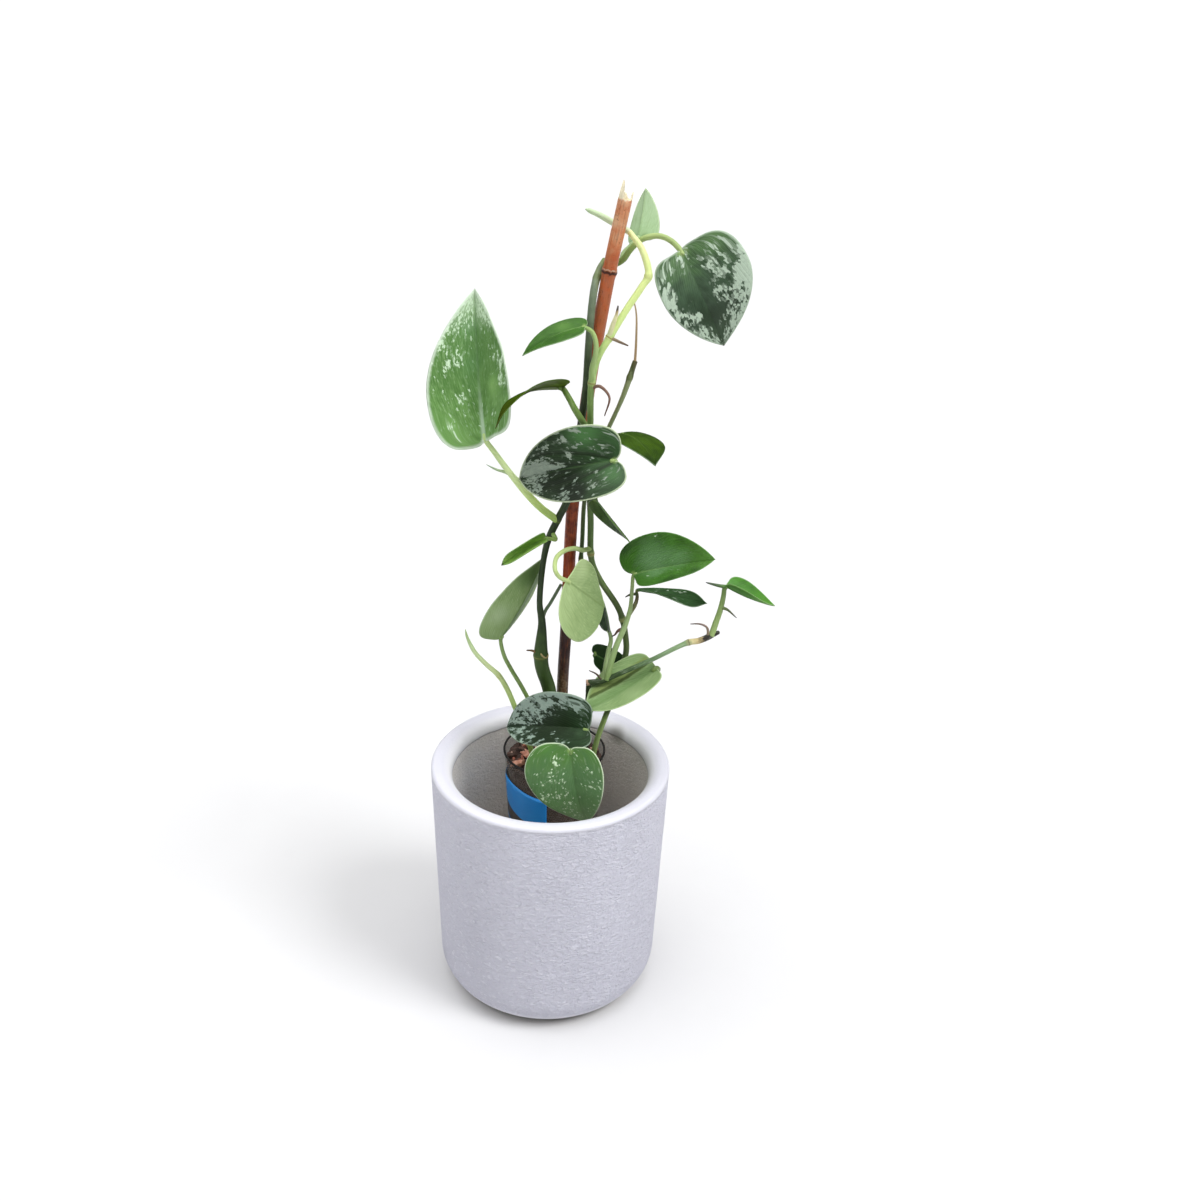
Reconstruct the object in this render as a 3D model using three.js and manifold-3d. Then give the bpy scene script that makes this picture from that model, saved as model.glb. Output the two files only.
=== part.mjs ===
// A satin pothos climbing a reed stake. It grows in a thin clear nursery pot, which stands on an
// upturned pot inside a tall round planter.
//
// Millimetres, +Z up. The origin is the centre of the planter's flat base, -Y is the front.
import * as THREE from 'three';
import { mergeVertices } from 'three/addons/utils/BufferGeometryUtils.js';
import Module from 'manifold-3d';

const wasm = await Module();
wasm.setup();

const GAP = 0.3; // clearance between pieces that touch
const UP = new THREE.Vector3(0, 0, 1);

// Planter: a thick-walled cylinder that narrows a little towards a rounded foot.
const PLANTER = {
  height: 212,
  topRadius: 100,
  footRadius: 95,
  footRound: 30,
  wall: 20.5,
  outerLipRound: 3,
  innerLipRound: 12,
  floor: 18,
  innerFloorRadius: 75,
  innerFloorRound: 10,
};

// Nursery pot, set back from the planter's axis, with its rim just under the planter's rim.
const POT = {
  x: 3,
  y: 26,
  rimZ: 208,
  bottomZ: 123,
  topRadius: 43,
  bottomRadius: 38,
  wall: 1,
  rimOut: 1.5,
  rimDeep: 3,
  drainRadius: 6,
};
const RISER = { x: 3, y: 20, mouthRadius: 43, topRadius: 39, wall: 1.5, drainRadius: 8 };
const LABEL = { lowZ: 141, highZ: 181, thick: 0.5, fromDegrees: 150, toDegrees: 262, steps: 14 };
const MIX = { topZ: 199, crown: 2, crownRadius: 20, gapToPot: 0.3 };

const BLADE_THICK = 1; // leaf blades are modelled a little thicker than the real 0.6
const BLADE_RINGS = 2; // quads from the midrib to the edge
const OUTLINE_STEPS = 4; // straight pieces in each of the three curves of a half outline
const VEIN_SWEEP = 0.25; // how far forward a vein runs to the widest edge, in blade lengths
const STEM_SIDES = 8;
const STALK_SIDES = 6;
const PLANTER_SIDES = 40;
const POT_SIDES = 32;
const MIX_SIDES = 28;
const SOCKET_PLAY = 0.36; // room round a stem in the potting mix
const FLATS = 0.96; // mean reach of a many-sided stem, as a share of its corner radius

const COLOURS = {
  planter: 0xdedee6,
  clearPlastic: 0x6a6660,
  label: 0x1c78c8,
  mix: 0x33261d,
  bark: 0x7a4a32,
  reed: 0x9c4a26,
  darkVine: 0x3d5a34,
  oliveVine: 0x66803c,
  paleStem: 0xa9c46c,
  root: 0x8a6a4c,
  leafDark: 0x2f5230,
  leafBright: 0x3f7a33,
  leafPale: 0x7fa865,
};

const model = new THREE.Group();

function addMesh(name, geometry, colour, { roughness = 0.6, metalness = 0 } = {}) {
  const material = new THREE.MeshStandardMaterial({ color: colour, roughness, metalness });
  const mesh = new THREE.Mesh(geometry, material);
  mesh.name = name;
  model.add(mesh);
  return mesh;
}

function point([x, y, z]) {
  return new THREE.Vector3(x, y, z);
}

// ---------------------------------------------------------------- solids for cutting

function toSolid(geometry) {
  const bare = geometry.clone();
  bare.deleteAttribute('normal');
  bare.deleteAttribute('uv');
  const merged = mergeVertices(bare, 1e-4);
  return new wasm.Manifold(
    new wasm.Mesh({
      numProp: 3,
      vertProperties: new Float32Array(merged.attributes.position.array),
      triVerts: new Uint32Array(merged.index.array),
    }),
  );
}

function toGeometry(solid) {
  const mesh = solid.getMesh();
  const geometry = new THREE.BufferGeometry();
  geometry.setAttribute('position', new THREE.BufferAttribute(mesh.vertProperties, 3));
  geometry.setIndex(new THREE.BufferAttribute(mesh.triVerts, 1));
  geometry.computeVertexNormals();
  return geometry;
}

// ---------------------------------------------------------------- tubes

// A solid tube of one radius along a smooth curve through the given points.
function tubeGeometry(curve, radius, sides) {
  const section = new THREE.Shape().absarc(0, 0, radius, 0, Math.PI * 2);
  const step = Math.max(6, radius * 5);
  return new THREE.ExtrudeGeometry(section, {
    steps: Math.max(3, Math.ceil(curve.getLength() / step)),
    curveSegments: sides / 2, // a full circle gets twice as many points
    bevelEnabled: false,
    extrudePath: curve,
  });
}

function smoothCurve(points) {
  return new THREE.CatmullRomCurve3(points, false, 'centripetal');
}

const stems = {}; // name -> { curve, radius, points }, for what grows out of each stem
const buried = []; // stems whose foot is in the potting mix

function addStem(name, points, radius, colour, { sides = STEM_SIDES, inMix = false } = {}) {
  const curve = smoothCurve(points);
  stems[name] = { curve, radius, points, sides };
  if (inMix) buried.push(name);
  addMesh(name, tubeGeometry(curve, radius, sides), colour);
}

function nearestOn(curve, target, samples = 300) {
  let best = { distance: Infinity };
  for (let i = 0; i <= samples; i += 1) {
    const at = curve.getPoint(i / samples);
    const distance = at.distanceTo(target);
    if (distance < best.distance) best = { distance, at, tangent: curve.getTangent(i / samples) };
  }
  return best;
}

// How far the end face of a tube sticks out along `normal`, as a share of the tube's radius.
function leanOf(direction, normal) {
  const square = direction.clone().normalize().dot(normal);
  return Math.sqrt(Math.max(0, 1 - square ** 2));
}

// The first centre point of a branch of this radius that grows beside a stem, close to `near`
// and on the side that faces `next`.
function besideStem(stemName, near, next, radius) {
  const stem = stems[stemName];
  const { at, tangent } = nearestOn(stem.curve, near);
  const out = next.clone().sub(at);
  out.addScaledVector(tangent, -out.dot(tangent)).normalize();
  const touching = at.clone().addScaledVector(out, stem.radius + radius);
  const lean = leanOf(next.clone().sub(touching), out);
  return at.addScaledVector(out, (stem.radius + radius * lean) * FLATS + GAP);
}

// The last centre point of a stem that runs square into the side of another stem.
function againstStem(stemName, previous) {
  const stem = stems[stemName];
  const { at } = nearestOn(stem.curve, previous);
  const back = previous.clone().sub(at).normalize();
  return at.addScaledVector(back, stem.radius * FLATS + GAP);
}

// ---------------------------------------------------------------- leaves

// Half of a heart-shaped blade, from the tip (1, 0) round the widest place to the notch (0, 0).
// The first number runs along the midrib in blade lengths, the second is the share of half width.
// A lobe that stops short of the base runs nearly straight in to the notch. Seen from the notch the
// outline only ever turns one way, because the blade's triangles fan out from there.
function halfOutline({ point: tipFullness, wide }, lobe) {
  const end = new THREE.Vector2(-lobe, 0.42);
  const lobeAt = (y) => (lobe < 0 ? (end.x * y) / end.y : end.x);
  const outline = new THREE.Path();
  outline.moveTo(1, 0);
  outline.bezierCurveTo(0.88, tipFullness, wide + 0.28, 1, wide, 1);
  outline.bezierCurveTo(Math.max(0.08, 2.6 * end.x), 1, lobeAt(0.78), 0.78, end.x, end.y);
  outline.bezierCurveTo(lobeAt(0.18), 0.18, Math.min(0, end.x) / 2 - 0.02, 0.06, 0, 0);
  return outline.getPoints(OUTLINE_STEPS);
}

// The curved middle surface of a blade. The midrib is an arc from base to tip that turns by
// `droop` degrees; each half rises from it by `fold` degrees and turns `curl` more to its edge.
// The blade turns by `twist` degrees about its midrib on the way to the tip.
function bladeSurface(leaf) {
  const base = point(leaf.base);
  const along = point(leaf.tip).sub(base);
  const chord = along.length();
  along.normalize();
  const face = point(leaf.face);
  face.addScaledVector(along, -face.dot(along)).normalize();
  const side = new THREE.Vector3().crossVectors(face, along);
  const turn = THREE.MathUtils.degToRad(leaf.droop || 0.01);
  const length = (chord * turn) / 2 / Math.sin(turn / 2);
  const fold = THREE.MathUtils.degToRad(leaf.fold);
  const curlPerMm = THREE.MathUtils.degToRad(leaf.curl || 0.01) / (leaf.width / 2);

  return (a, b) => {
    const slope = turn / 2 - turn * a;
    const forward = (length / turn) * (Math.sin(turn / 2) - Math.sin(slope));
    const rise = (length / turn) * (Math.cos(slope) - Math.cos(turn / 2));
    const ribUp = face.clone().multiplyScalar(Math.cos(slope)).addScaledVector(along, -Math.sin(slope));
    const twist = THREE.MathUtils.degToRad((leaf.twist || 0) * a);
    const normal = ribUp.clone().multiplyScalar(Math.cos(twist)).addScaledVector(side, -Math.sin(twist));
    const left = side.clone().multiplyScalar(Math.cos(twist)).addScaledVector(ribUp, Math.sin(twist));
    const hand = Math.sign(b);
    const reach = Math.abs(b) * (leaf.width / 2) * (1 + hand * leaf.skew);
    const tilt = fold + curlPerMm * reach;
    const across = (Math.sin(tilt) - Math.sin(fold)) / curlPerMm;
    const lift = (Math.cos(fold) - Math.cos(tilt)) / curlPerMm;
    const at = base
      .clone()
      .addScaledVector(along, forward)
      .addScaledVector(face, rise)
      .addScaledVector(left, hand * across)
      .addScaledVector(normal, lift);
    const upper = normal.clone();
    if (reach > 0) {
      upper.multiplyScalar(Math.cos(tilt)).addScaledVector(left, -hand * Math.sin(tilt));
    }
    return { at, upper };
  };
}

// A closed blade: the middle surface moved out by half the thickness on both sides, and a rim.
function bladeGeometry(leaf) {
  const surface = bladeSurface(leaf);
  const vertices = [];
  const triangle = (p, q, r) => {
    if (p.equals(q) || q.equals(r) || r.equals(p)) return;
    for (const v of [p, q, r]) vertices.push(v.x, v.y, v.z);
  };
  const quad = (p, q, r, s, flip) => {
    if (flip) {
      triangle(p, r, q);
      triangle(p, s, r);
    } else {
      triangle(p, q, r);
      triangle(p, r, s);
    }
  };
  for (const [hand, lobe] of [[1, leaf.lobes[0]], [-1, leaf.lobes[1]]]) {
    const rows = halfOutline(leaf, lobe).map(({ x, y }) => {
      const rib = Math.max(0, x - VEIN_SWEEP * y);
      return Array.from({ length: BLADE_RINGS + 1 }, (_, i) => {
        const share = i / BLADE_RINGS;
        const { at, upper } = surface(rib + (x - rib) * share, hand * y * share);
        const half = upper.multiplyScalar(BLADE_THICK / 2);
        return { top: at.clone().add(half), bottom: at.clone().sub(half) };
      });
    });
    for (let j = 0; j + 1 < rows.length; j += 1) {
      const [row, next] = [rows[j], rows[j + 1]];
      for (let i = 0; i < BLADE_RINGS; i += 1) {
        quad(row[i].top, row[i + 1].top, next[i + 1].top, next[i].top, hand < 0);
        quad(row[i].bottom, row[i + 1].bottom, next[i + 1].bottom, next[i].bottom, hand > 0);
      }
      const [edge, nextEdge] = [row[BLADE_RINGS], next[BLADE_RINGS]];
      quad(edge.top, edge.bottom, nextEdge.bottom, nextEdge.top, hand < 0);
    }
  }
  const geometry = new THREE.BufferGeometry();
  geometry.setAttribute('position', new THREE.Float32BufferAttribute(vertices, 3));
  const merged = mergeVertices(geometry, 1e-4);
  merged.computeVertexNormals();
  return merged;
}

// The last centre point of a stalk that meets the blade at the notch: from the underside, or
// from above where the stalk comes down on the blade's upper side.
function atBlade(leaf, previous, radius) {
  const { at, upper } = bladeSurface(leaf)(0, 0);
  const arriving = at.clone().sub(previous).normalize();
  const fromAbove = arriving.dot(upper) < -0.3;
  const away = BLADE_THICK / 2 + GAP + radius * leanOf(arriving, upper);
  return at.addScaledVector(upper, fromAbove ? away : -away);
}

// `stalk.from` names the stem that the stalk grows beside. Without it, the stalk starts at its
// first point, in the potting mix.
function addLeaf(name, leaf) {
  addMesh(name, bladeGeometry(leaf), leaf.colour);
  if (!leaf.stalk) return;
  const { from, route, radius, colour } = leaf.stalk;
  const points = route.map(point);
  if (from) points[0] = besideStem(from, points[0], points[1], radius);
  points.push(atBlade(leaf, points.at(-1), radius));
  addStem(`${name}_stalk`, points, radius, colour, { sides: STALK_SIDES, inMix: !from });
}

// ---------------------------------------------------------------- pots

function latheGeometry(profile, segments) {
  const geometry = new THREE.LatheGeometry(profile, segments);
  geometry.rotateX(Math.PI / 2); // the lathe turns about Y, the pots stand along Z
  return geometry;
}

function arcPoints(centreX, centreY, radius, fromDegrees, toDegrees, steps) {
  return Array.from({ length: steps + 1 }, (_, i) => {
    const angle = THREE.MathUtils.degToRad(fromDegrees + ((toDegrees - fromDegrees) * i) / steps);
    return new THREE.Vector2(centreX + radius * Math.cos(angle), centreY + radius * Math.sin(angle));
  });
}

function addPlanter() {
  const p = PLANTER;
  const innerTop = p.topRadius - p.wall;
  const profile = [
    new THREE.Vector2(0, 0),
    ...arcPoints(p.footRadius - p.footRound, p.footRound, p.footRound, -90, 0, 5),
    ...arcPoints(p.topRadius - p.outerLipRound, p.height - p.outerLipRound, p.outerLipRound, 0, 90, 2),
    ...arcPoints(innerTop + p.innerLipRound, p.height - p.innerLipRound, p.innerLipRound, 90, 180, 4),
    ...arcPoints(
      p.innerFloorRadius - p.innerFloorRound,
      p.floor + p.innerFloorRound,
      p.innerFloorRound,
      0,
      -90,
      2,
    ),
    new THREE.Vector2(0, p.floor),
  ];
  addMesh('planter', latheGeometry(profile, PLANTER_SIDES), COLOURS.planter, { roughness: 0.9 });
}

// A cup with a hole in the middle of its floor, as a profile that closes on itself.
function cupProfile({ bottomRadius, topRadius, wall, lowZ, highZ, holeRadius, rimOut, rimDeep }) {
  const outerAt = (z) => bottomRadius + ((topRadius - bottomRadius) * (z - lowZ)) / (highZ - lowZ);
  const inside = lowZ + wall;
  return [
    [holeRadius, lowZ],
    [bottomRadius, lowZ],
    [outerAt(highZ - rimDeep), highZ - rimDeep],
    [topRadius + rimOut, highZ - rimDeep],
    [topRadius + rimOut, highZ],
    [topRadius - wall, highZ],
    [outerAt(inside) - wall, inside],
    [holeRadius, inside],
    [holeRadius, lowZ],
  ].map(([x, y]) => new THREE.Vector2(x, y));
}

function addNurseryPot() {
  const profile = cupProfile({
    ...POT,
    lowZ: POT.bottomZ,
    highZ: POT.rimZ,
    holeRadius: POT.drainRadius,
  });
  const geometry = latheGeometry(profile, POT_SIDES).translate(POT.x, POT.y, 0);
  addMesh('nursery_pot', geometry, COLOURS.clearPlastic, { roughness: 0.25 });
}

// The upturned pot under the nursery pot: a cup from its small end up, turned over.
function addRiser() {
  const lowZ = PLANTER.floor + GAP;
  const highZ = POT.bottomZ - GAP;
  const profile = cupProfile({
    bottomRadius: RISER.topRadius,
    topRadius: RISER.mouthRadius,
    wall: RISER.wall,
    lowZ: 0,
    highZ: highZ - lowZ,
    holeRadius: RISER.drainRadius,
    rimOut: RISER.wall,
    rimDeep: 2 * RISER.wall,
  });
  const geometry = latheGeometry(profile, POT_SIDES).rotateX(Math.PI);
  geometry.translate(RISER.x, RISER.y, highZ);
  addMesh('riser', geometry, COLOURS.clearPlastic, { roughness: 0.5 });
}

function potRadiusAt(z) {
  const share = (z - POT.bottomZ) / (POT.rimZ - POT.bottomZ);
  return POT.bottomRadius + (POT.topRadius - POT.bottomRadius) * share;
}

// A curved strip that follows the outside of the nursery pot.
function addLabel() {
  const section = [
    [potRadiusAt(LABEL.lowZ) + GAP, LABEL.lowZ],
    [potRadiusAt(LABEL.lowZ) + GAP + LABEL.thick, LABEL.lowZ],
    [potRadiusAt(LABEL.highZ) + GAP + LABEL.thick, LABEL.highZ],
    [potRadiusAt(LABEL.highZ) + GAP, LABEL.highZ],
  ];
  const positions = [];
  for (let i = 0; i <= LABEL.steps; i += 1) {
    const turned = ((LABEL.toDegrees - LABEL.fromDegrees) * i) / LABEL.steps;
    const angle = THREE.MathUtils.degToRad(LABEL.fromDegrees + turned);
    for (const [r, z] of section) {
      positions.push(POT.x + r * Math.cos(angle), POT.y + r * Math.sin(angle), z);
    }
  }
  const corners = section.length;
  const index = [0, 1, 2, 0, 2, 3];
  for (let i = 0; i < LABEL.steps; i += 1) {
    for (let k = 0; k < corners; k += 1) {
      const a = i * corners + k;
      const b = i * corners + ((k + 1) % corners);
      index.push(a, a + corners, b, b, a + corners, b + corners);
    }
  }
  const last = LABEL.steps * corners;
  index.push(last, last + 2, last + 1, last, last + 3, last + 2);
  const geometry = new THREE.BufferGeometry();
  geometry.setAttribute('position', new THREE.Float32BufferAttribute(positions, 3));
  geometry.setIndex(index);
  geometry.computeVertexNormals();
  addMesh('nursery_label', geometry, COLOURS.label, { roughness: 0.4 });
}

// The potting mix fills the nursery pot and is cut clear of every stem that grows in it.
function addPottingMix() {
  const low = POT.bottomZ + POT.wall + MIX.gapToPot;
  const inset = POT.wall + MIX.gapToPot;
  const profile = [
    new THREE.Vector2(0, low),
    new THREE.Vector2(potRadiusAt(low) - inset, low),
    new THREE.Vector2(potRadiusAt(MIX.topZ) - inset, MIX.topZ),
    new THREE.Vector2(MIX.crownRadius, MIX.topZ + MIX.crown),
    new THREE.Vector2(0, MIX.topZ + MIX.crown),
  ];
  let mix = toSolid(latheGeometry(profile, MIX_SIDES).translate(POT.x, POT.y, 0));
  for (const name of buried) {
    const stem = stems[name];
    const points = stem.points.map((p) => p.clone());
    points[0].addScaledVector(UP, -GAP);
    const socket = tubeGeometry(smoothCurve(points), stem.radius + SOCKET_PLAY, stem.sides);
    mix = mix.subtract(toSolid(socket));
  }
  addMesh('potting_mix', toGeometry(mix), COLOURS.mix, { roughness: 1 });
}

// Loose pieces of bark on the mix: centre, half sizes and a turn about the vertical.
const BARK_CHIPS = [
  { at: [-27, 10], half: [7, 4, 2.5], turn: 40 },
  { at: [-20, 23], half: [6, 5, 2.2], turn: -20 },
  { at: [-8, -3], half: [7, 4.5, 2.2], turn: 10 },
];

// Height of the mix under a point: a flat crown that slopes down to the pot's wall.
function mixHeightAt(x, y) {
  const edge = potRadiusAt(MIX.topZ) - POT.wall - MIX.gapToPot;
  const out = Math.max(0, Math.hypot(x - POT.x, y - POT.y) - MIX.crownRadius);
  return MIX.topZ + MIX.crown * (1 - out / (edge - MIX.crownRadius));
}

function addBarkChips() {
  BARK_CHIPS.forEach(({ at: [x, y], half, turn }, i) => {
    const chip = new THREE.IcosahedronGeometry(1, 0);
    chip.scale(...half);
    chip.rotateZ(THREE.MathUtils.degToRad(turn));
    chip.computeBoundingBox();
    chip.translate(x, y, mixHeightAt(x, y) + GAP - chip.boundingBox.min.z);
    addMesh(`bark_chip_${i + 1}`, chip, COLOURS.bark, { roughness: 0.95 });
  });
}

// ---------------------------------------------------------------- stake and stems

// The reed ends in a splinter: two slanted cuts leave a tongue on its left side. A cut is the
// slope of its face about Y and the place on that face, from the end of the reed's axis.
const STAKE = {
  radius: 5,
  cuts: [
    { degrees: 68, x: -2, z: 0 },
    { degrees: -50, x: -2.5, z: -1 },
  ],
  cutterSize: 40,
  points: [
    [6, 26, 140],
    [8, 25, 214],
    [9, 24, 276],
    [11, 22, 332],
    [14, 17, 436],
    [20, 14, 487],
    [26, 11, 534],
    [37, 5, 614],
    [46, 0, 674],
  ],
};

function addStake() {
  const points = STAKE.points.map(point);
  const curve = smoothCurve(points);
  stems.stake = { curve, radius: STAKE.radius, points, sides: STEM_SIDES };
  buried.push('stake');
  const tip = points.at(-1);
  let reed = toSolid(tubeGeometry(curve, STAKE.radius, STEM_SIDES));
  for (const { degrees, x, z } of STAKE.cuts) {
    const cutter = new THREE.BoxGeometry(STAKE.cutterSize, STAKE.cutterSize, STAKE.cutterSize);
    cutter.translate(0, 0, STAKE.cutterSize / 2);
    cutter.rotateY(THREE.MathUtils.degToRad(degrees));
    cutter.translate(tip.x + x, tip.y, tip.z + z);
    reed = reed.subtract(toSolid(cutter));
  }
  addMesh('stake', toGeometry(reed), COLOURS.reed, { roughness: 0.35 });
}

// Main stems. The routes run from the root end to the growing end.
const VINES = {
  vine_left: {
    radius: 3, colour: COLOURS.darkVine, inMix: true,
    route: [[5, 18, 186], [4, 18, 212], [-2, 16, 269], [-9, 14, 296], [-9, 14, 334], [-11, 14, 351],
      [-6, 12, 402], [2, 9, 424], [9, 5, 441], [14, 3, 470], [15, 3, 502], [18, 2, 530],
      [20, 2, 560], [24, 2, 592], [26, 5, 606], [29, 12, 614], [33, 16, 620]],
  },
  vine_right: {
    radius: 2.5, colour: COLOURS.oliveVine, inMix: true,
    route: [[28, 41, 186], [29, 40, 209], [33, 38, 237], [50, 34, 266], [61, 30, 296], [60, 28, 317],
      [54, 26, 340], [37, 22, 369], [30, 20, 386], [28, 17, 423], [26, 12, 455], [25, 2, 480],
      [25, -3, 504], [25, -5, 535], [29, -6, 555], [37, -6, 570], [48, -4, 589], [59, -2, 606],
      [63, -1, 613], [58, 2, 630], [49, 8, 641]],
  },
  side_shoot: {
    radius: 1.7, colour: COLOURS.darkVine, inMix: true, sides: STALK_SIDES,
    route: [[9, 36, 186], [9, 36, 249], [11, 35, 289], [15, 32, 327], [20, 28, 365], [22, 26, 397],
      [23, 25, 434], [28, 22, 466], [35, 19, 485], [49, 14, 521], [57, 11, 549]],
  },
  young_shoot: {
    radius: 2.2, colour: COLOURS.paleStem, inMix: true, sides: STALK_SIDES,
    route: [[-12, 12, 186], [-16, 10, 212], [-24, 7, 240], [-29, 6, 255], [-37, 5, 277],
      [-44, 4, 290], [-54, 4, 300], [-63, 4, 311], [-69, 4, 325], [-70, 4, 331]],
  },
  cut_branch: {
    radius: 2.5, colour: COLOURS.darkVine,
    route: [[28, 2, 285], [41, 2, 287], [54, 1, 294], [80, 0, 308], [110, 3, 323], [118, 4, 324],
      [134, 6, 331]],
  },
};

// The short stem that carries the cut branch. It ends square against it.
const CUT_VINE = {
  radius: 2.2, colour: COLOURS.oliveVine,
  route: [[29, 28, 186], [30, 25, 212], [31, 17, 240], [30, 9, 262], [30, 4, 275]],
};

function addVines() {
  for (const [name, { route, radius, colour, ...options }] of Object.entries(VINES)) {
    addStem(name, route.map(point), radius, colour, options);
  }
  const points = CUT_VINE.route.map(point);
  points.push(againstStem('cut_branch', points.at(-1)));
  addStem('cut_vine', points, CUT_VINE.radius, CUT_VINE.colour, { inMix: true });
}

// ---------------------------------------------------------------- leaves, shoots and roots

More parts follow.
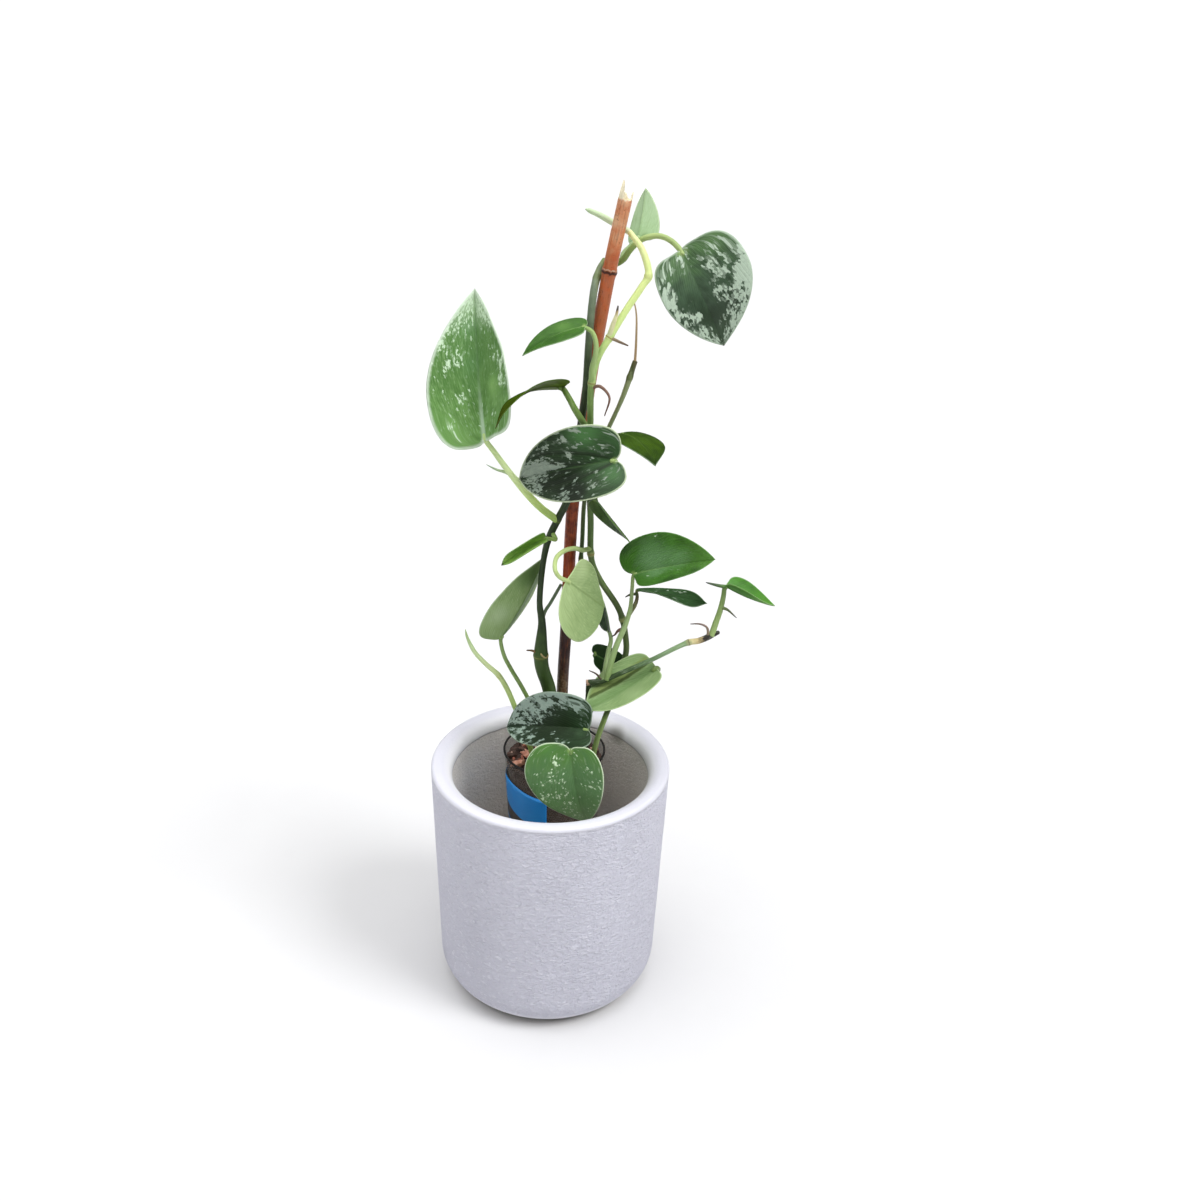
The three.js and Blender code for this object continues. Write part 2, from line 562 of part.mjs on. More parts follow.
// base: where the midrib meets the stalk. tip: the blade's point. face: the way the upper side
// looks. width: flat width. lobes: how far the heart's left and right lobes pass the base, in blade
// lengths, looking from the base to the tip. point: how full the tip is. wide: where the blade is
// widest, in blade lengths from the base. skew: how much wider the half on the left of the midrib is
// than the mean, as a share.
const LEAVES = {
  leaf_01: {
    base: [-52.5, -5, 491.5], tip: [-61, 29.5, 595.5], face: [-0.45, -0.86, 0.25],
    width: 77, lobes: [0.05, -0.03], point: 0.33, wide: 0.31, skew: 0.03,
    fold: 22, curl: 7, droop: 12, colour: COLOURS.leafBright,
    stalk: {
      from: 'vine_left', radius: 1.8, colour: COLOURS.paleStem,
      route: [[1, 8, 424], [-11, 4, 436], [-23, 1, 450], [-36, 0, 467], [-46, 0, 481]],
    },
  },
  leaf_02: {
    base: [86, 10, 629], tip: [121, 7, 563], face: [0.03, -1, 0.06],
    width: 68, lobes: [0.03, -0.01], point: 0.28, wide: 0.34, skew: 0.18,
    fold: 12, curl: -6, droop: 53, colour: COLOURS.leafDark,
    stalk: {
      from: 'vine_left', radius: 1.9, colour: COLOURS.oliveVine,
      route: [[31, 14, 616], [40, 20, 617], [46, 18, 621], [50, 17, 627], [58, 16, 635],
        [70, 15, 638], [79, 14, 635]],
    },
  },
  leaf_03: {
    base: [56.5, 30, 633.5], tip: [62, 55, 666], face: [0.43, 0.69, -0.59],
    width: 22, lobes: [-0.03, 0.07], point: 0.29, wide: 0.29, skew: 0,
    fold: 14, curl: 6, droop: 19, colour: COLOURS.leafPale,
    stalk: {
      from: 'leaf_02_stalk', radius: 1.3, colour: COLOURS.oliveVine,
      route: [[45, 19, 621], [46, 24, 624], [51, 27, 629]],
    },
  },
  leaf_04: {
    base: [19, -10, 578], tip: [-25, -18, 558], face: [-0.34, -0.35, 0.87],
    width: 28, lobes: [-0.04, 0.06], point: 0.2, wide: 0.39, skew: 0.18,
    fold: 22, curl: -18, droop: 34, colour: COLOURS.leafBright,
    stalk: {
      from: 'vine_right', radius: 1.6, colour: COLOURS.paleStem,
      route: [[25, -5, 537], [25, -10, 548], [27, -13, 559], [27, -14, 568], [24, -12, 575]],
    },
  },
  leaf_05: {
    base: [4, -15, 535.5], tip: [-42, -60, 516.5], face: [-0.51, 0.17, 0.84],
    width: 31, lobes: [0.01, 0.05], point: 0.3, wide: 0.35, skew: 0.06,
    fold: 11, curl: -16, droop: 69, colour: COLOURS.oliveVine,
    stalk: {
      from: 'vine_right', radius: 2.4, colour: COLOURS.oliveVine,
      route: [[24, -3, 498], [19, -14, 510], [13, -20, 521], [8, -20, 530]],
    },
  },
  leaf_06: {
    base: [43, -25, 484.5], tip: [-27, -9.5, 463], face: [-0.31, -0.88, 0.37],
    width: 58, lobes: [0.08, 0.08], point: 0.36, wide: 0.32, skew: -0.03,
    fold: 19, curl: 0, droop: 42, colour: COLOURS.leafDark,
    stalk: {
      from: 'vine_right', radius: 1.7, colour: COLOURS.paleStem,
      route: [[26, 10, 460], [34, 4, 461], [41, -8, 470], [44, -16, 479]],
    },
  },
  leaf_07: {
    base: [49, 10, 494.5], tip: [73, -24.5, 480.5], face: [0.25, -0.21, 0.94],
    width: 44, lobes: [-0.01, -0.05], point: 0.2, wide: 0.39, skew: 0.23,
    fold: 8, curl: -28, droop: 56, colour: COLOURS.oliveVine,
    stalk: {
      from: 'vine_right', radius: 1.5, colour: COLOURS.oliveVine,
      route: [[26, 5, 474], [33, 9, 482], [41, 12, 489]],
    },
  },
  leaf_08: {
    base: [-7, -5, 414.5], tip: [-41, -4, 390.5], face: [-0.3, -0.88, 0.38],
    width: 18, lobes: [0.03, 0.03], point: 0.34, wide: 0.36, skew: 0,
    fold: 23, curl: 85, droop: 40, colour: COLOURS.leafBright,
    stalk: {
      from: 'vine_left', radius: 1.2, colour: COLOURS.paleStem,
      route: [[-2, 11, 414], [1, 4, 410], [-3, 0, 412]],
    },
  },
  leaf_09: {
    base: [-43.5, 26.5, 312], tip: [-8, 21, 388.5], face: [-0.71, 0.6, 0.37],
    width: 63, lobes: [0.03, 0.03], point: 0.34, wide: 0.35, skew: 0.07,
    fold: 20, curl: 0, droop: -15, colour: COLOURS.leafPale,
    stalk: {
      radius: 1.7, colour: COLOURS.paleStem,
      route: [[-6, 16, 186], [-8, 15, 215], [-14, 14, 248], [-24, 15, 271], [-34, 18, 288],
        [-40, 20, 300]],
    },
  },
  leaf_10: {
    base: [10, -35, 392], tip: [41, 13, 348], face: [-0.87, 0.49, -0.08],
    width: 64, lobes: [0.09, -0.04], point: 0.36, wide: 0.33, skew: 0.26,
    fold: -9, curl: 7, droop: -2, twist: -12, colour: COLOURS.leafPale,
    stalk: {
      from: 'vine_right', radius: 1.7, colour: COLOURS.paleStem,
      route: [[29, 17, 396], [26, 6, 399], [20, -4, 405], [12, -15, 408], [5, -26, 409],
        [1, -37, 407], [0, -45, 403], [3, -48, 398]],
    },
  },
  leaf_11: {
    base: [45.5, 22, 321.5], tip: [38.5, 18, 358.5], face: [-0.82, -0.54, -0.2],
    width: 18, lobes: [0, -0.05], point: 0.33, wide: 0.36, skew: -0.03,
    fold: 6, curl: 22, droop: 8, colour: COLOURS.leafDark,
    stalk: {
      from: 'cut_branch', radius: 1.8, colour: COLOURS.paleStem,
      route: [[43, 2, 287], [44, 11, 296], [46, 19, 305], [48, 23, 314]],
    },
  },
  leaf_12: {
    base: [36, 54, 284.5], tip: [78, 55, 256], face: [0.49, -0.5, 0.72],
    width: 29, lobes: [0.08, -0.01], point: 0.34, wide: 0.33, skew: -0.1,
    fold: 13, curl: 3, droop: 14, colour: COLOURS.leafDark,
    stalk: {
      from: 'vine_right', radius: 1.3, colour: COLOURS.oliveVine,
      route: [[37, 37, 244], [34, 47, 258], [33, 56, 273]],
    },
  },
  leaf_13: {
    base: [63.5, 15, 377], tip: [126.5, 3, 396], face: [-0.33, -0.62, 0.71],
    width: 50, lobes: [0.13, -0.04], point: 0.3, wide: 0.33, skew: 0.17,
    fold: 23, curl: 16, droop: 12, colour: COLOURS.leafBright,
    stalk: {
      from: 'cut_branch', radius: 1.8, colour: COLOURS.paleStem,
      route: [[45, 2, 289], [48, 3, 305], [52, 5, 319], [58, 8, 334], [62, 12, 348], [63, 16, 364]],
    },
  },
  leaf_14: {
    base: [67.5, 25, 359], tip: [126, 24, 348], face: [0.17, 0.46, 0.87],
    width: 17, lobes: [0, 0], point: 0.37, wide: 0.58, skew: 0,
    fold: 8, curl: 9, droop: 4, twist: 84, colour: COLOURS.leafDark,
    stalk: {
      from: 'leaf_13_stalk', radius: 1.4, colour: COLOURS.oliveVine,
      route: [[61, 11, 344], [66, 17, 349], [68, 23, 354]],
    },
  },
  leaf_15: {
    base: [137.5, 10, 370.5], tip: [176.5, -1, 358.5], face: [0.28, -0.03, 0.96],
    width: 25, lobes: [0, 0], point: 0.29, wide: 0.29, skew: 0.08,
    fold: 31, curl: 22, droop: -20, colour: COLOURS.leafBright,
    stalk: {
      from: 'cut_branch', radius: 2.2, colour: COLOURS.paleStem,
      route: [[129, 5, 329], [131, 7, 338], [134, 8, 349], [136, 9, 361]],
    },
  },
  leaf_16: {
    base: [85, 8, 295.5], tip: [26.5, -14.5, 268.5], face: [0.24, 0.42, -0.87],
    width: 43, lobes: [0.02, 0.02], point: 0.48, wide: 0.44, skew: 0.15,
    fold: -15, curl: -2, droop: 25, colour: COLOURS.leafPale,
    stalk: {
      radius: 1.8, colour: COLOURS.paleStem,
      route: [[36, 22, 186], [37, 20, 208], [44, 19, 238], [51, 20, 256], [65, 25, 265],
        [80, 26, 278], [88, 20, 288]],
    },
  },
  leaf_17: {
    base: [29, -24, 256], tip: [-37, 3, 242], face: [-0.4, -0.64, 0.65],
    width: 55, lobes: [0.06, 0.04], point: 0.29, wide: 0.34, skew: -0.11,
    fold: 23, curl: 21, droop: 40, colour: COLOURS.leafDark,
    stalk: {
      radius: 1.7, colour: COLOURS.paleStem,
      route: [[26, 20, 186], [28, 18, 212], [34, 6, 234], [35, -9, 247], [34, -18, 254]],
    },
  },
  leaf_18: {
    base: [15.5, -50, 252.5], tip: [31, -42, 179.5], face: [-0.22, -0.96, -0.16],
    width: 66, lobes: [0.04, 0.09], point: 0.25, wide: 0.23, skew: -0.18,
    fold: 14, curl: -7, droop: 48, colour: COLOURS.leafBright,
    stalk: {
      radius: 1.7, colour: COLOURS.paleStem,
      route: [[18, 14, 186], [18, 10, 206], [17, -4, 221], [16, -20, 231], [15, -35, 238], [15, -44, 244]],
    },
  },
  leaf_19: {
    base: [30.5, 2.5, 444], tip: [58.5, -2.5, 411], face: [-0.69, -0.52, -0.5],
    width: 27, lobes: [0, 0.02], point: 0.26, wide: 0.31, skew: -0.13,
    fold: 11, curl: 8, droop: 0, twist: 19, colour: COLOURS.oliveVine,
    stalk: {
      from: 'vine_right', radius: 1.2, colour: COLOURS.oliveVine,
      route: [[27, 14, 446], [32, 11, 451], [34, 8, 448]],
    },
  },
};

// Thinner pieces that carry on from the growing end of a stem.
const CONTINUATIONS = {
  furled_leaf: {
    from: 'vine_right', radius: 2, colour: COLOURS.leafPale,
    route: [[40, 13, 645], [28, 14, 651], [18, 13, 655]],
  },
  dry_tip: {
    from: 'side_shoot', radius: 0.8, colour: COLOURS.root,
    route: [[57, 9, 566], [56, 5, 585], [54, 3, 594]],
  },
};
const CONTINUATION_GAP = 0.9; // wider than GAP, because the two end faces are at an angle

function addContinuation(name, { from, route, radius, colour }) {
  const { curve } = stems[from];
  const start = curve.getPoint(1).addScaledVector(curve.getTangent(1), CONTINUATION_GAP);
  addStem(name, [start, ...route.map(point)], radius, colour, { sides: STALK_SIDES });
}

// Aerial roots: the stem each grows from, its route and its radius.
const ROOTS = {
  root_left: { from: 'vine_left', radius: 1.1, route: [[-9, 14, 304], [-16, 11, 309], [-21, 8, 311]] },
  root_middle: {
    from: 'vine_right', radius: 1,
    route: [[25, -4, 533], [31, -9, 535], [38, -12, 528], [35, -12, 514]],
  },
  root_upper: {
    from: 'vine_right', radius: 1,
    route: [[37, -6, 570], [44, -11, 568], [50, -13, 566]],
  },
  root_right: {
    from: 'leaf_15_stalk', radius: 0.9,
    route: [[133, 7, 352], [139, 5, 352], [147, 2, 346]],
  },
  root_branch: {
    from: 'cut_branch', radius: 0.9,
    route: [[125, 5, 327], [124, 4, 336], [118, 2, 340], [110, 0, 341]],
  },
};

// A root leaves the side of its stem.
function addRoot(name, { from, route, radius }) {
  const points = route.map(point);
  points[0] = besideStem(from, points[0], points[1], radius);
  addStem(name, points, radius, COLOURS.root, { sides: STALK_SIDES });
}

addPlanter();
addNurseryPot();
addRiser();
addLabel();
addStake();
addVines();
for (const [name, leaf] of Object.entries(LEAVES)) addLeaf(name, leaf);
for (const [name, piece] of Object.entries(CONTINUATIONS)) addContinuation(name, piece);
for (const [name, root] of Object.entries(ROOTS)) addRoot(name, root);
addBarkChips();
addPottingMix();

export default model;
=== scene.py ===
"""A satin pothos climbing a reed stake, in a clear nursery pot inside a white stoneware planter.

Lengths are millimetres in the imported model's frame. They become metres when a mesh is made.
"""

import math
import random

import bmesh
import bpy
import numpy as np
from mathutils import Matrix, Vector, noise


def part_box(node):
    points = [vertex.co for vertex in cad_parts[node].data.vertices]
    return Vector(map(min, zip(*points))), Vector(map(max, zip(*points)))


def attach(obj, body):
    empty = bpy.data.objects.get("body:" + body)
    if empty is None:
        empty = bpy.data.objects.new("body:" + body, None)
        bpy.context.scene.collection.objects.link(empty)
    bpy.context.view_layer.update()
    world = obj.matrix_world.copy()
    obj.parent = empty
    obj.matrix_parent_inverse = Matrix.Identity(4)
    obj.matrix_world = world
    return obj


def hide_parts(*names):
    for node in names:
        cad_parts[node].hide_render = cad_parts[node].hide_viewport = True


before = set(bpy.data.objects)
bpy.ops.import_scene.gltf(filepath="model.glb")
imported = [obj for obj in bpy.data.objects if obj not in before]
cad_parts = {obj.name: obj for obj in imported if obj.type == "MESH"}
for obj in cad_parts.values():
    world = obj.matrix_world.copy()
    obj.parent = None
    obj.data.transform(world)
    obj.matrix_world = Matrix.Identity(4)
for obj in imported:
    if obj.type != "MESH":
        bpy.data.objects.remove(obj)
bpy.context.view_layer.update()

MM = 0.001
UP = np.array([0.0, 0.0, 1.0])


# ---------------------------------------------------------------- materials: the tools


def rgb(code):
    """The linear colour of a hex code such as "#5b8150"."""
    parts = [int(code[i : i + 2], 16) / 255 for i in (1, 3, 5)]
    return [p / 12.92 if p <= 0.04045 else ((p + 0.055) / 1.055) ** 2.4 for p in parts] + [1.0]


class Value:
    """What a node gives. Arithmetic with values and numbers adds Math nodes."""

    def __init__(self, shader, socket):
        self.shader = shader
        self.socket = socket

    def __add__(self, other):
        return self.shader.math("ADD", self, other)

    def __sub__(self, other):
        return self.shader.math("SUBTRACT", self, other)

    def __mul__(self, other):
        return self.shader.math("MULTIPLY", self, other)

    def __truediv__(self, other):
        return self.shader.math("DIVIDE", self, other)

    def __abs__(self):
        return self.shader.math("ABSOLUTE", self)


class Shader:
    """The node tree of a new material or world. A colour may be a value or a hex code."""

    def __init__(self, name, kind=bpy.data.materials):
        self.owner = kind.new(name)
        self.owner.use_nodes = True
        self.tree = self.owner.node_tree
        self.tree.nodes.clear()

    def add(self, kind, inputs, output=0, **settings):
        """Adds one node and gives one of its outputs, where it has any."""
        node = self.tree.nodes.new("ShaderNode" + kind)
        for key, value in settings.items():
            setattr(node, key, value)
        for key, value in inputs.items():
            if isinstance(value, Value):
                self.tree.links.new(value.socket, node.inputs[key])
            else:
                node.inputs[key].default_value = rgb(value) if isinstance(value, str) else value
        return Value(self, node.outputs[output]) if node.outputs else None

    def math(self, operation, a, b=0.0):
        return self.add("Math", {0: a, 1: b}, operation=operation)

    def vector_math(self, operation, a, b, output=0):
        return self.add("VectorMath", {0: a, 1: b}, output, operation=operation)

    def step(self, value, low, high, start=0.0, end=1.0):
        """A smooth step from `start` at `low` to `end` at `high`."""
        inputs = {0: value, 1: low, 2: high, 3: start, 4: end}
        return self.add("MapRange", inputs, interpolation_type="SMOOTHSTEP", clamp=True)

    def mix(self, share, a, b):
        """A colour between a and b."""
        return self.add("Mix", {0: share, 6: a, 7: b}, output=2, data_type="RGBA")

    def ramp(self, value, tones):
        """A colour from hex codes that are evenly spread over 0 to 1, or stand where an @ says."""
        codes = [tone.partition("@") for tone in tones.split()]
        node = self.tree.nodes.new("ShaderNodeValToRGB")
        self.tree.links.new(value.socket, node.inputs[0])
        elements = node.color_ramp.elements
        places = [float(place or i / (len(codes) - 1)) for i, (_, _, place) in enumerate(codes)]
        for place in places[2:]:
            elements.new(place)
        for element, place, (code, _, _) in zip(elements, places, codes):
            element.position = place
            element.color = rgb(code)
        return Value(self, node.outputs[0])

    def part(self, vector, i):
        """One number of a vector or a colour."""
        return self.add("SeparateXYZ", {0: vector}, output=i)

    def uv(self, layer):
        """Both numbers of a UV layer."""
        both = self.add("UVMap", {}, uv_map=layer)
        return [self.part(both, i) for i in (0, 1)]

    def place(self):
        """The point on the surface in millimetres."""
        at = self.add("TexCoord", {}, output="Object")
        return self.add("VectorMath", {0: at, "Scale": 1 / MM}, operation="SCALE")

    def join(self, x, y, z=0.0):
        return self.add("CombineXYZ", {0: x, 1: y, 2: z})

    def around(self, turn, radius, z):
        """A point on a round rod, so that its pattern has no seam where the turns start again."""
        angle = turn * (2 * math.pi)
        return self.join(self.math("COSINE", angle) * radius, self.math("SINE", angle) * radius, z)

    def noise(self, at, size, detail=2.0, roughness=0.5, distortion=0.0, output="Fac"):
        """Noise of 0 to 1 whose lumps are about `size` wide."""
        inputs = {"Vector": at, "Scale": 1 / size, "Detail": detail, "Roughness": roughness}
        return self.add("TexNoise", {**inputs, "Distortion": distortion}, output)

    def cells(self, at, size, output="Distance"):
        return self.add("TexVoronoi", {"Vector": at, "Scale": 1 / size}, output)

    def bump(self, height, depth, strength=1.0):
        """A normal for a height of 0 to 1 that stands for `depth` millimetres."""
        return self.add("Bump", {"Height": height, "Distance": depth * MM, "Strength": strength})

    def finish(self, colour, roughness, normal=None, specular=None, ior=None, alpha=None):
        """The finished material. What is None stays as Blender has it."""
        inputs = {"Base Color": colour, "Roughness": roughness, "Normal": normal}
        inputs.update({"Specular IOR Level": specular, "IOR": ior, "Alpha": alpha})
        given = {key: value for key, value in inputs.items() if value is not None}
        self.add("OutputMaterial", {"Surface": self.add("BsdfPrincipled", given)})
        return self.owner


# ---------------------------------------------------------------- meshes: the tools


def grid_faces(rows, columns, start=0):
    """Quads over points that are numbered row by row."""
    return [
        (i, i + 1, i + columns + 1, i + columns)
        for row in range(rows - 1)
        for i in range(start + row * columns, start + row * columns + columns - 1)
    ]


def make_piece(name, points, faces, materials, layers=None, slots=None):
    """A smooth mesh in metres. `layers` holds UV layers with two numbers for each point, and
    `slots` a material number for each face. Points at one place become one."""
    mesh = bpy.data.meshes.new(name)
    mesh.from_pydata([tuple(p) for p in np.asarray(points, float) * MM], [], faces)
    corners = np.empty(len(mesh.loops), int)
    mesh.loops.foreach_get("vertex_index", corners)
    for layer, values in (layers or {}).items():
        uv = mesh.uv_layers.new(name=layer)
        uv.data.foreach_set("uv", np.asarray(values, np.float32)[corners].ravel())
    for material in materials:
        mesh.materials.append(material)
    if slots is not None:
        mesh.polygons.foreach_set("material_index", slots)
    work = bmesh.new()
    work.from_mesh(mesh)
    bmesh.ops.remove_doubles(work, verts=work.verts, dist=1e-6)
    bmesh.ops.dissolve_degenerate(work, edges=work.edges, dist=1e-7)
    bmesh.ops.recalc_face_normals(work, faces=work.faces)
    work.to_mesh(mesh)
    work.free()
    mesh.polygons.foreach_set("use_smooth", [True] * len(mesh.polygons))
    piece = bpy.data.objects.new(name, mesh)
    bpy.context.scene.collection.objects.link(piece)
    return piece


def seat(piece, slot, *nodes):
    """The piece rides on the object's one body and stands for these CAD nodes."""
    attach(piece, "root")
    if nodes:
        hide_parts(*nodes)


def unit(v):
    return v / np.linalg.norm(v)


def smooth_path(points, spacing=1.5):
    """A centripetal Catmull-Rom curve through the points, as closely spaced points."""
    p = np.asarray(points, float)
    p = np.vstack([2 * p[0] - p[1], p, 2 * p[-1] - p[-2]])
    path = []
    for p0, p1, p2, p3 in zip(p, p[1:], p[2:], p[3:]):
        d0, d1, d2 = (np.linalg.norm(b - a) ** 0.5 for a, b in ((p0, p1), (p1, p2), (p2, p3)))
        leave = ((p1 - p0) / d0 - (p2 - p0) / (d0 + d1) + (p2 - p1) / d1) * d1
        arrive = ((p2 - p1) / d1 - (p3 - p1) / (d1 + d2) + (p3 - p2) / d2) * d1
        steps = max(2, round(np.linalg.norm(p2 - p1) / spacing))
        for k in range(steps):
            t = k / steps
            bend = (3 * (p2 - p1) - 2 * leave - arrive) * t**2
            path.append(p1 + leave * t + bend + (2 * (p1 - p2) + leave + arrive) * t**3)
    path.append(p[-2])
    return np.array(path)


def lengths_along(path):
    return np.concatenate([[0], np.cumsum(np.linalg.norm(np.diff(path, axis=0), axis=1))])


def frames_along(path):
    """Tangents and two directions square to them, which turn as little as they can."""
    tangents = np.gradient(path, axis=0)
    tangents /= np.linalg.norm(tangents, axis=1)[:, None]
    start = np.cross(tangents[0], UP)
    if np.linalg.norm(start) < 0.2:
        start = np.cross(tangents[0], [0.0, 1.0, 0.0])
    sides = [unit(start)]
    for tangent in tangents[1:]:
        sides.append(unit(sides[-1] - tangent * (sides[-1] @ tangent)))
    sides = np.array(sides)
    return tangents, sides, np.cross(tangents, sides)


def tube_grid(path, radii, sides, caps):
    """Points, turns and lengths of a tube with rounded ends. A cap is the height of an end's
    dome as a share of the radius there."""
    tangents, across, up = frames_along(path)
    along = lengths_along(path)
    last = len(path) - 1
    dome = [math.radians(angle) for angle in (90, 60, 30)]
    rows = []
    for a in dome:
        centre = path[0] - tangents[0] * radii[0] * caps[0] * math.sin(a)
        rows.append((centre, 0, math.cos(a)))
    rows += [(path[i], i, 1.0) for i in range(len(path))]
    for a in reversed(dome):
        centre = path[last] + tangents[last] * radii[last] * caps[1] * math.sin(a)
        rows.append((centre, last, math.cos(a)))
    points = []
    layer = []
    for centre, i, share in rows:
        for turn in np.linspace(0, 1, sides + 1):
            angle = 2 * math.pi * turn
            out = across[i] * math.cos(angle) + up[i] * math.sin(angle)
            points.append(centre + out * radii[i] * share)
            layer.append((turn, along[i]))
    return np.array(points), np.array(layer), grid_faces(len(rows), sides + 1)


# ---------------------------------------------------------------- leaves: shape


VEIN_SWEEP = 0.25  # how far forward a vein runs to the widest edge, in blade lengths
FAN = 13.0  # millimetres of vein spacing for each radian where the veins fan out at the base
ARCHING = 1.1  # how quickly a vein nears the edge on its way to the tip
BLADE_THICK = 0.8
WAVE = 0.4  # height of the blade's soft waves
CREASE_DEPTH = 0.8
HALF_COLUMNS = 18  # mesh columns from the midrib to the edge
ALMOST_FLAT = 0.01  # degrees that stand for a bend of none

# base: where the midrib meets the stalk. tip: the blade's point. face: the way the upper side
# looks. lobes, point and wide shape the outline, skew makes one half wider, fold and curl lift the
# two halves, droop arches the midrib and twist turns the blade on the way to its tip.
# Lengths are mm, lobes, point, wide and skew are shares, and the last four are degrees.
LEAF_COLUMNS = "base tip face width lobes point wide skew fold curl droop twist".split()
LEAF_ROWS = {
    "leaf_01": (
        (-52.5, -5, 491.5), (-61, 29.5, 595.5), (-0.45, -0.86, 0.25),
        77, (0.05, -0.03), 0.33, 0.31, 0.03, 22, 7, 12, 0,
    ),
    "leaf_02": (
        (86, 10, 629), (121, 7, 563), (0.03, -1, 0.06),
        68, (0.03, -0.01), 0.28, 0.34, 0.18, 12, -6, 53, 0,
    ),
    "leaf_03": (
        (56.5, 30, 633.5), (62, 55, 666), (0.43, 0.69, -0.59),
        25, (0.02, 0.07), 0.42, 0.2, 0.12, 14, 6, 19, 0,
    ),
    "leaf_04": (
        (19, -10, 578), (-25, -18, 558), (-0.34, -0.35, 0.87),
        28, (-0.04, 0.06), 0.2, 0.39, 0.18, 22, -18, 34, 0,
    ),
    "leaf_05": (
        (4, -15, 535.5), (-42, -60, 516.5), (-0.51, 0.17, 0.84),
        32, (0.01, 0.05), 0.05, 0.3, 0.06, 11, -16, 69, 0,
    ),
    "leaf_06": (
        (43, -25, 484.5), (-27, -9.5, 463), (-0.31, -0.88, 0.37),
        58, (0.08, 0.08), 0.56, 0.32, -0.03, 19, 0, 42, 0,
    ),
    "leaf_07": (
        (49, 10, 494.5), (73, -24.5, 480.5), (0.25, -0.21, 0.94),
        44, (-0.01, -0.05), 0.2, 0.39, 0.23, 8, -28, 56, 0,
    ),
    "leaf_08": (
        (-7, -5, 414.5), (-41, -4, 390.5), (-0.3, -0.88, 0.38),
        18, (0.03, 0.03), 0.34, 0.36, 0, 23, 85, 40, 0,
    ),
    "leaf_09": (
        (-43.5, 26.5, 312), (-8, 21, 388.5), (-0.71, 0.6, 0.37),
        63, (0.03, 0.03), 0.34, 0.35, 0.07, 20, 0, -15, 0,
    ),
    "leaf_10": (
        (10, -35, 392), (41, 13, 348), (-0.87, 0.49, -0.08),
        64, (0.09, -0.04), 0.36, 0.33, 0.26, -9, 7, -2, -12,
    ),
    "leaf_11": (
        (45.5, 22, 321.5), (38.5, 18, 358.5), (-0.82, -0.54, -0.2),
        18, (0, -0.05), 0.33, 0.36, -0.03, 6, 22, 8, 0,
    ),
    "leaf_12": (
        (36, 54, 284.5), (78, 55, 256), (0.49, -0.5, 0.72),
        29, (0.08, -0.01), 0.34, 0.33, -0.1, 13, 3, 14, 0,
    ),
    "leaf_13": (
        (63.5, 15, 377), (126.5, 3, 396), (-0.33, -0.62, 0.71),
        50, (0.13, -0.04), 0.42, 0.33, 0.17, 23, 16, 12, 0,
    ),
    "leaf_14": (
        (67.5, 25, 359), (126, 24, 348), (0.17, 0.46, 0.87),
        17, (0, 0), 0.37, 0.58, 0, 8, 9, 4, 84,
    ),
    "leaf_15": (
        (137.5, 10, 370.5), (176.5, -1, 358.5), (0.28, -0.03, 0.96),
        25, (0, 0), 0.29, 0.29, 0.08, 31, 22, -20, 0,
    ),
    "leaf_16": (
        (85, 8, 295.5), (26.5, -14.5, 268.5), (0.24, 0.42, -0.87),
        43, (0.02, 0.02), 0.48, 0.44, 0.15, -15, -2, 25, 0,
    ),
    "leaf_17": (
        (29, -24, 256), (-37, 3, 242), (-0.4, -0.64, 0.65),
        55, (0.06, 0.04), 0.5, 0.34, -0.11, 23, 21, 40, 0,
    ),
    "leaf_18": (
        (15.5, -50, 252.5), (31, -42, 179.5), (-0.22, -0.96, -0.16),
        66, (0.04, 0.09), 0.25, 0.23, -0.18, 14, -7, 48, 0,
    ),
    "leaf_19": (
        (30.5, 2.5, 444), (58.5, -2.5, 411), (-0.69, -0.52, -0.5),
        27, (0, 0.02), 0.26, 0.31, -0.13, 11, 8, 0, 19,
    ),
}
LEAVES = {name: dict(zip(LEAF_COLUMNS, row)) for name, row in LEAF_ROWS.items()}


def bezier(p0, p1, p2, p3, steps):
    """Points of a cubic curve, without its last point."""
    t = (np.arange(steps) / steps)[:, None]
    p0, p1, p2, p3 = (np.array(p, float) for p in (p0, p1, p2, p3))
    return (1 - t) ** 3 * p0 + 3 * (1 - t) ** 2 * t * p1 + 3 * (1 - t) * t**2 * p2 + t**3 * p3


def half_outline(leaf, lobe):
    """From the tip (1, 0) round the widest place to the notch (0, 0), in blade lengths along
    the midrib and shares of half the width across it."""
    end = (-lobe, 0.42)

    def lobe_at(y):
        return end[0] * y / end[1] if lobe < 0 else end[0]

    wide = leaf["wide"]
    notch = (min(0, end[0]) / 2 - 0.02, 0.06)
    return np.vstack(
        [
            bezier((1, 0), (0.88, leaf["point"]), (wide + 0.28, 1), (wide, 1), 24),
            bezier((wide, 1), (max(0.08, 2.6 * end[0]), 1), (lobe_at(0.78), 0.78), end, 14),
            bezier(end, (lobe_at(0.18), 0.18), notch, (0, 0), 9),
            [(0, 0)],
        ]
    )


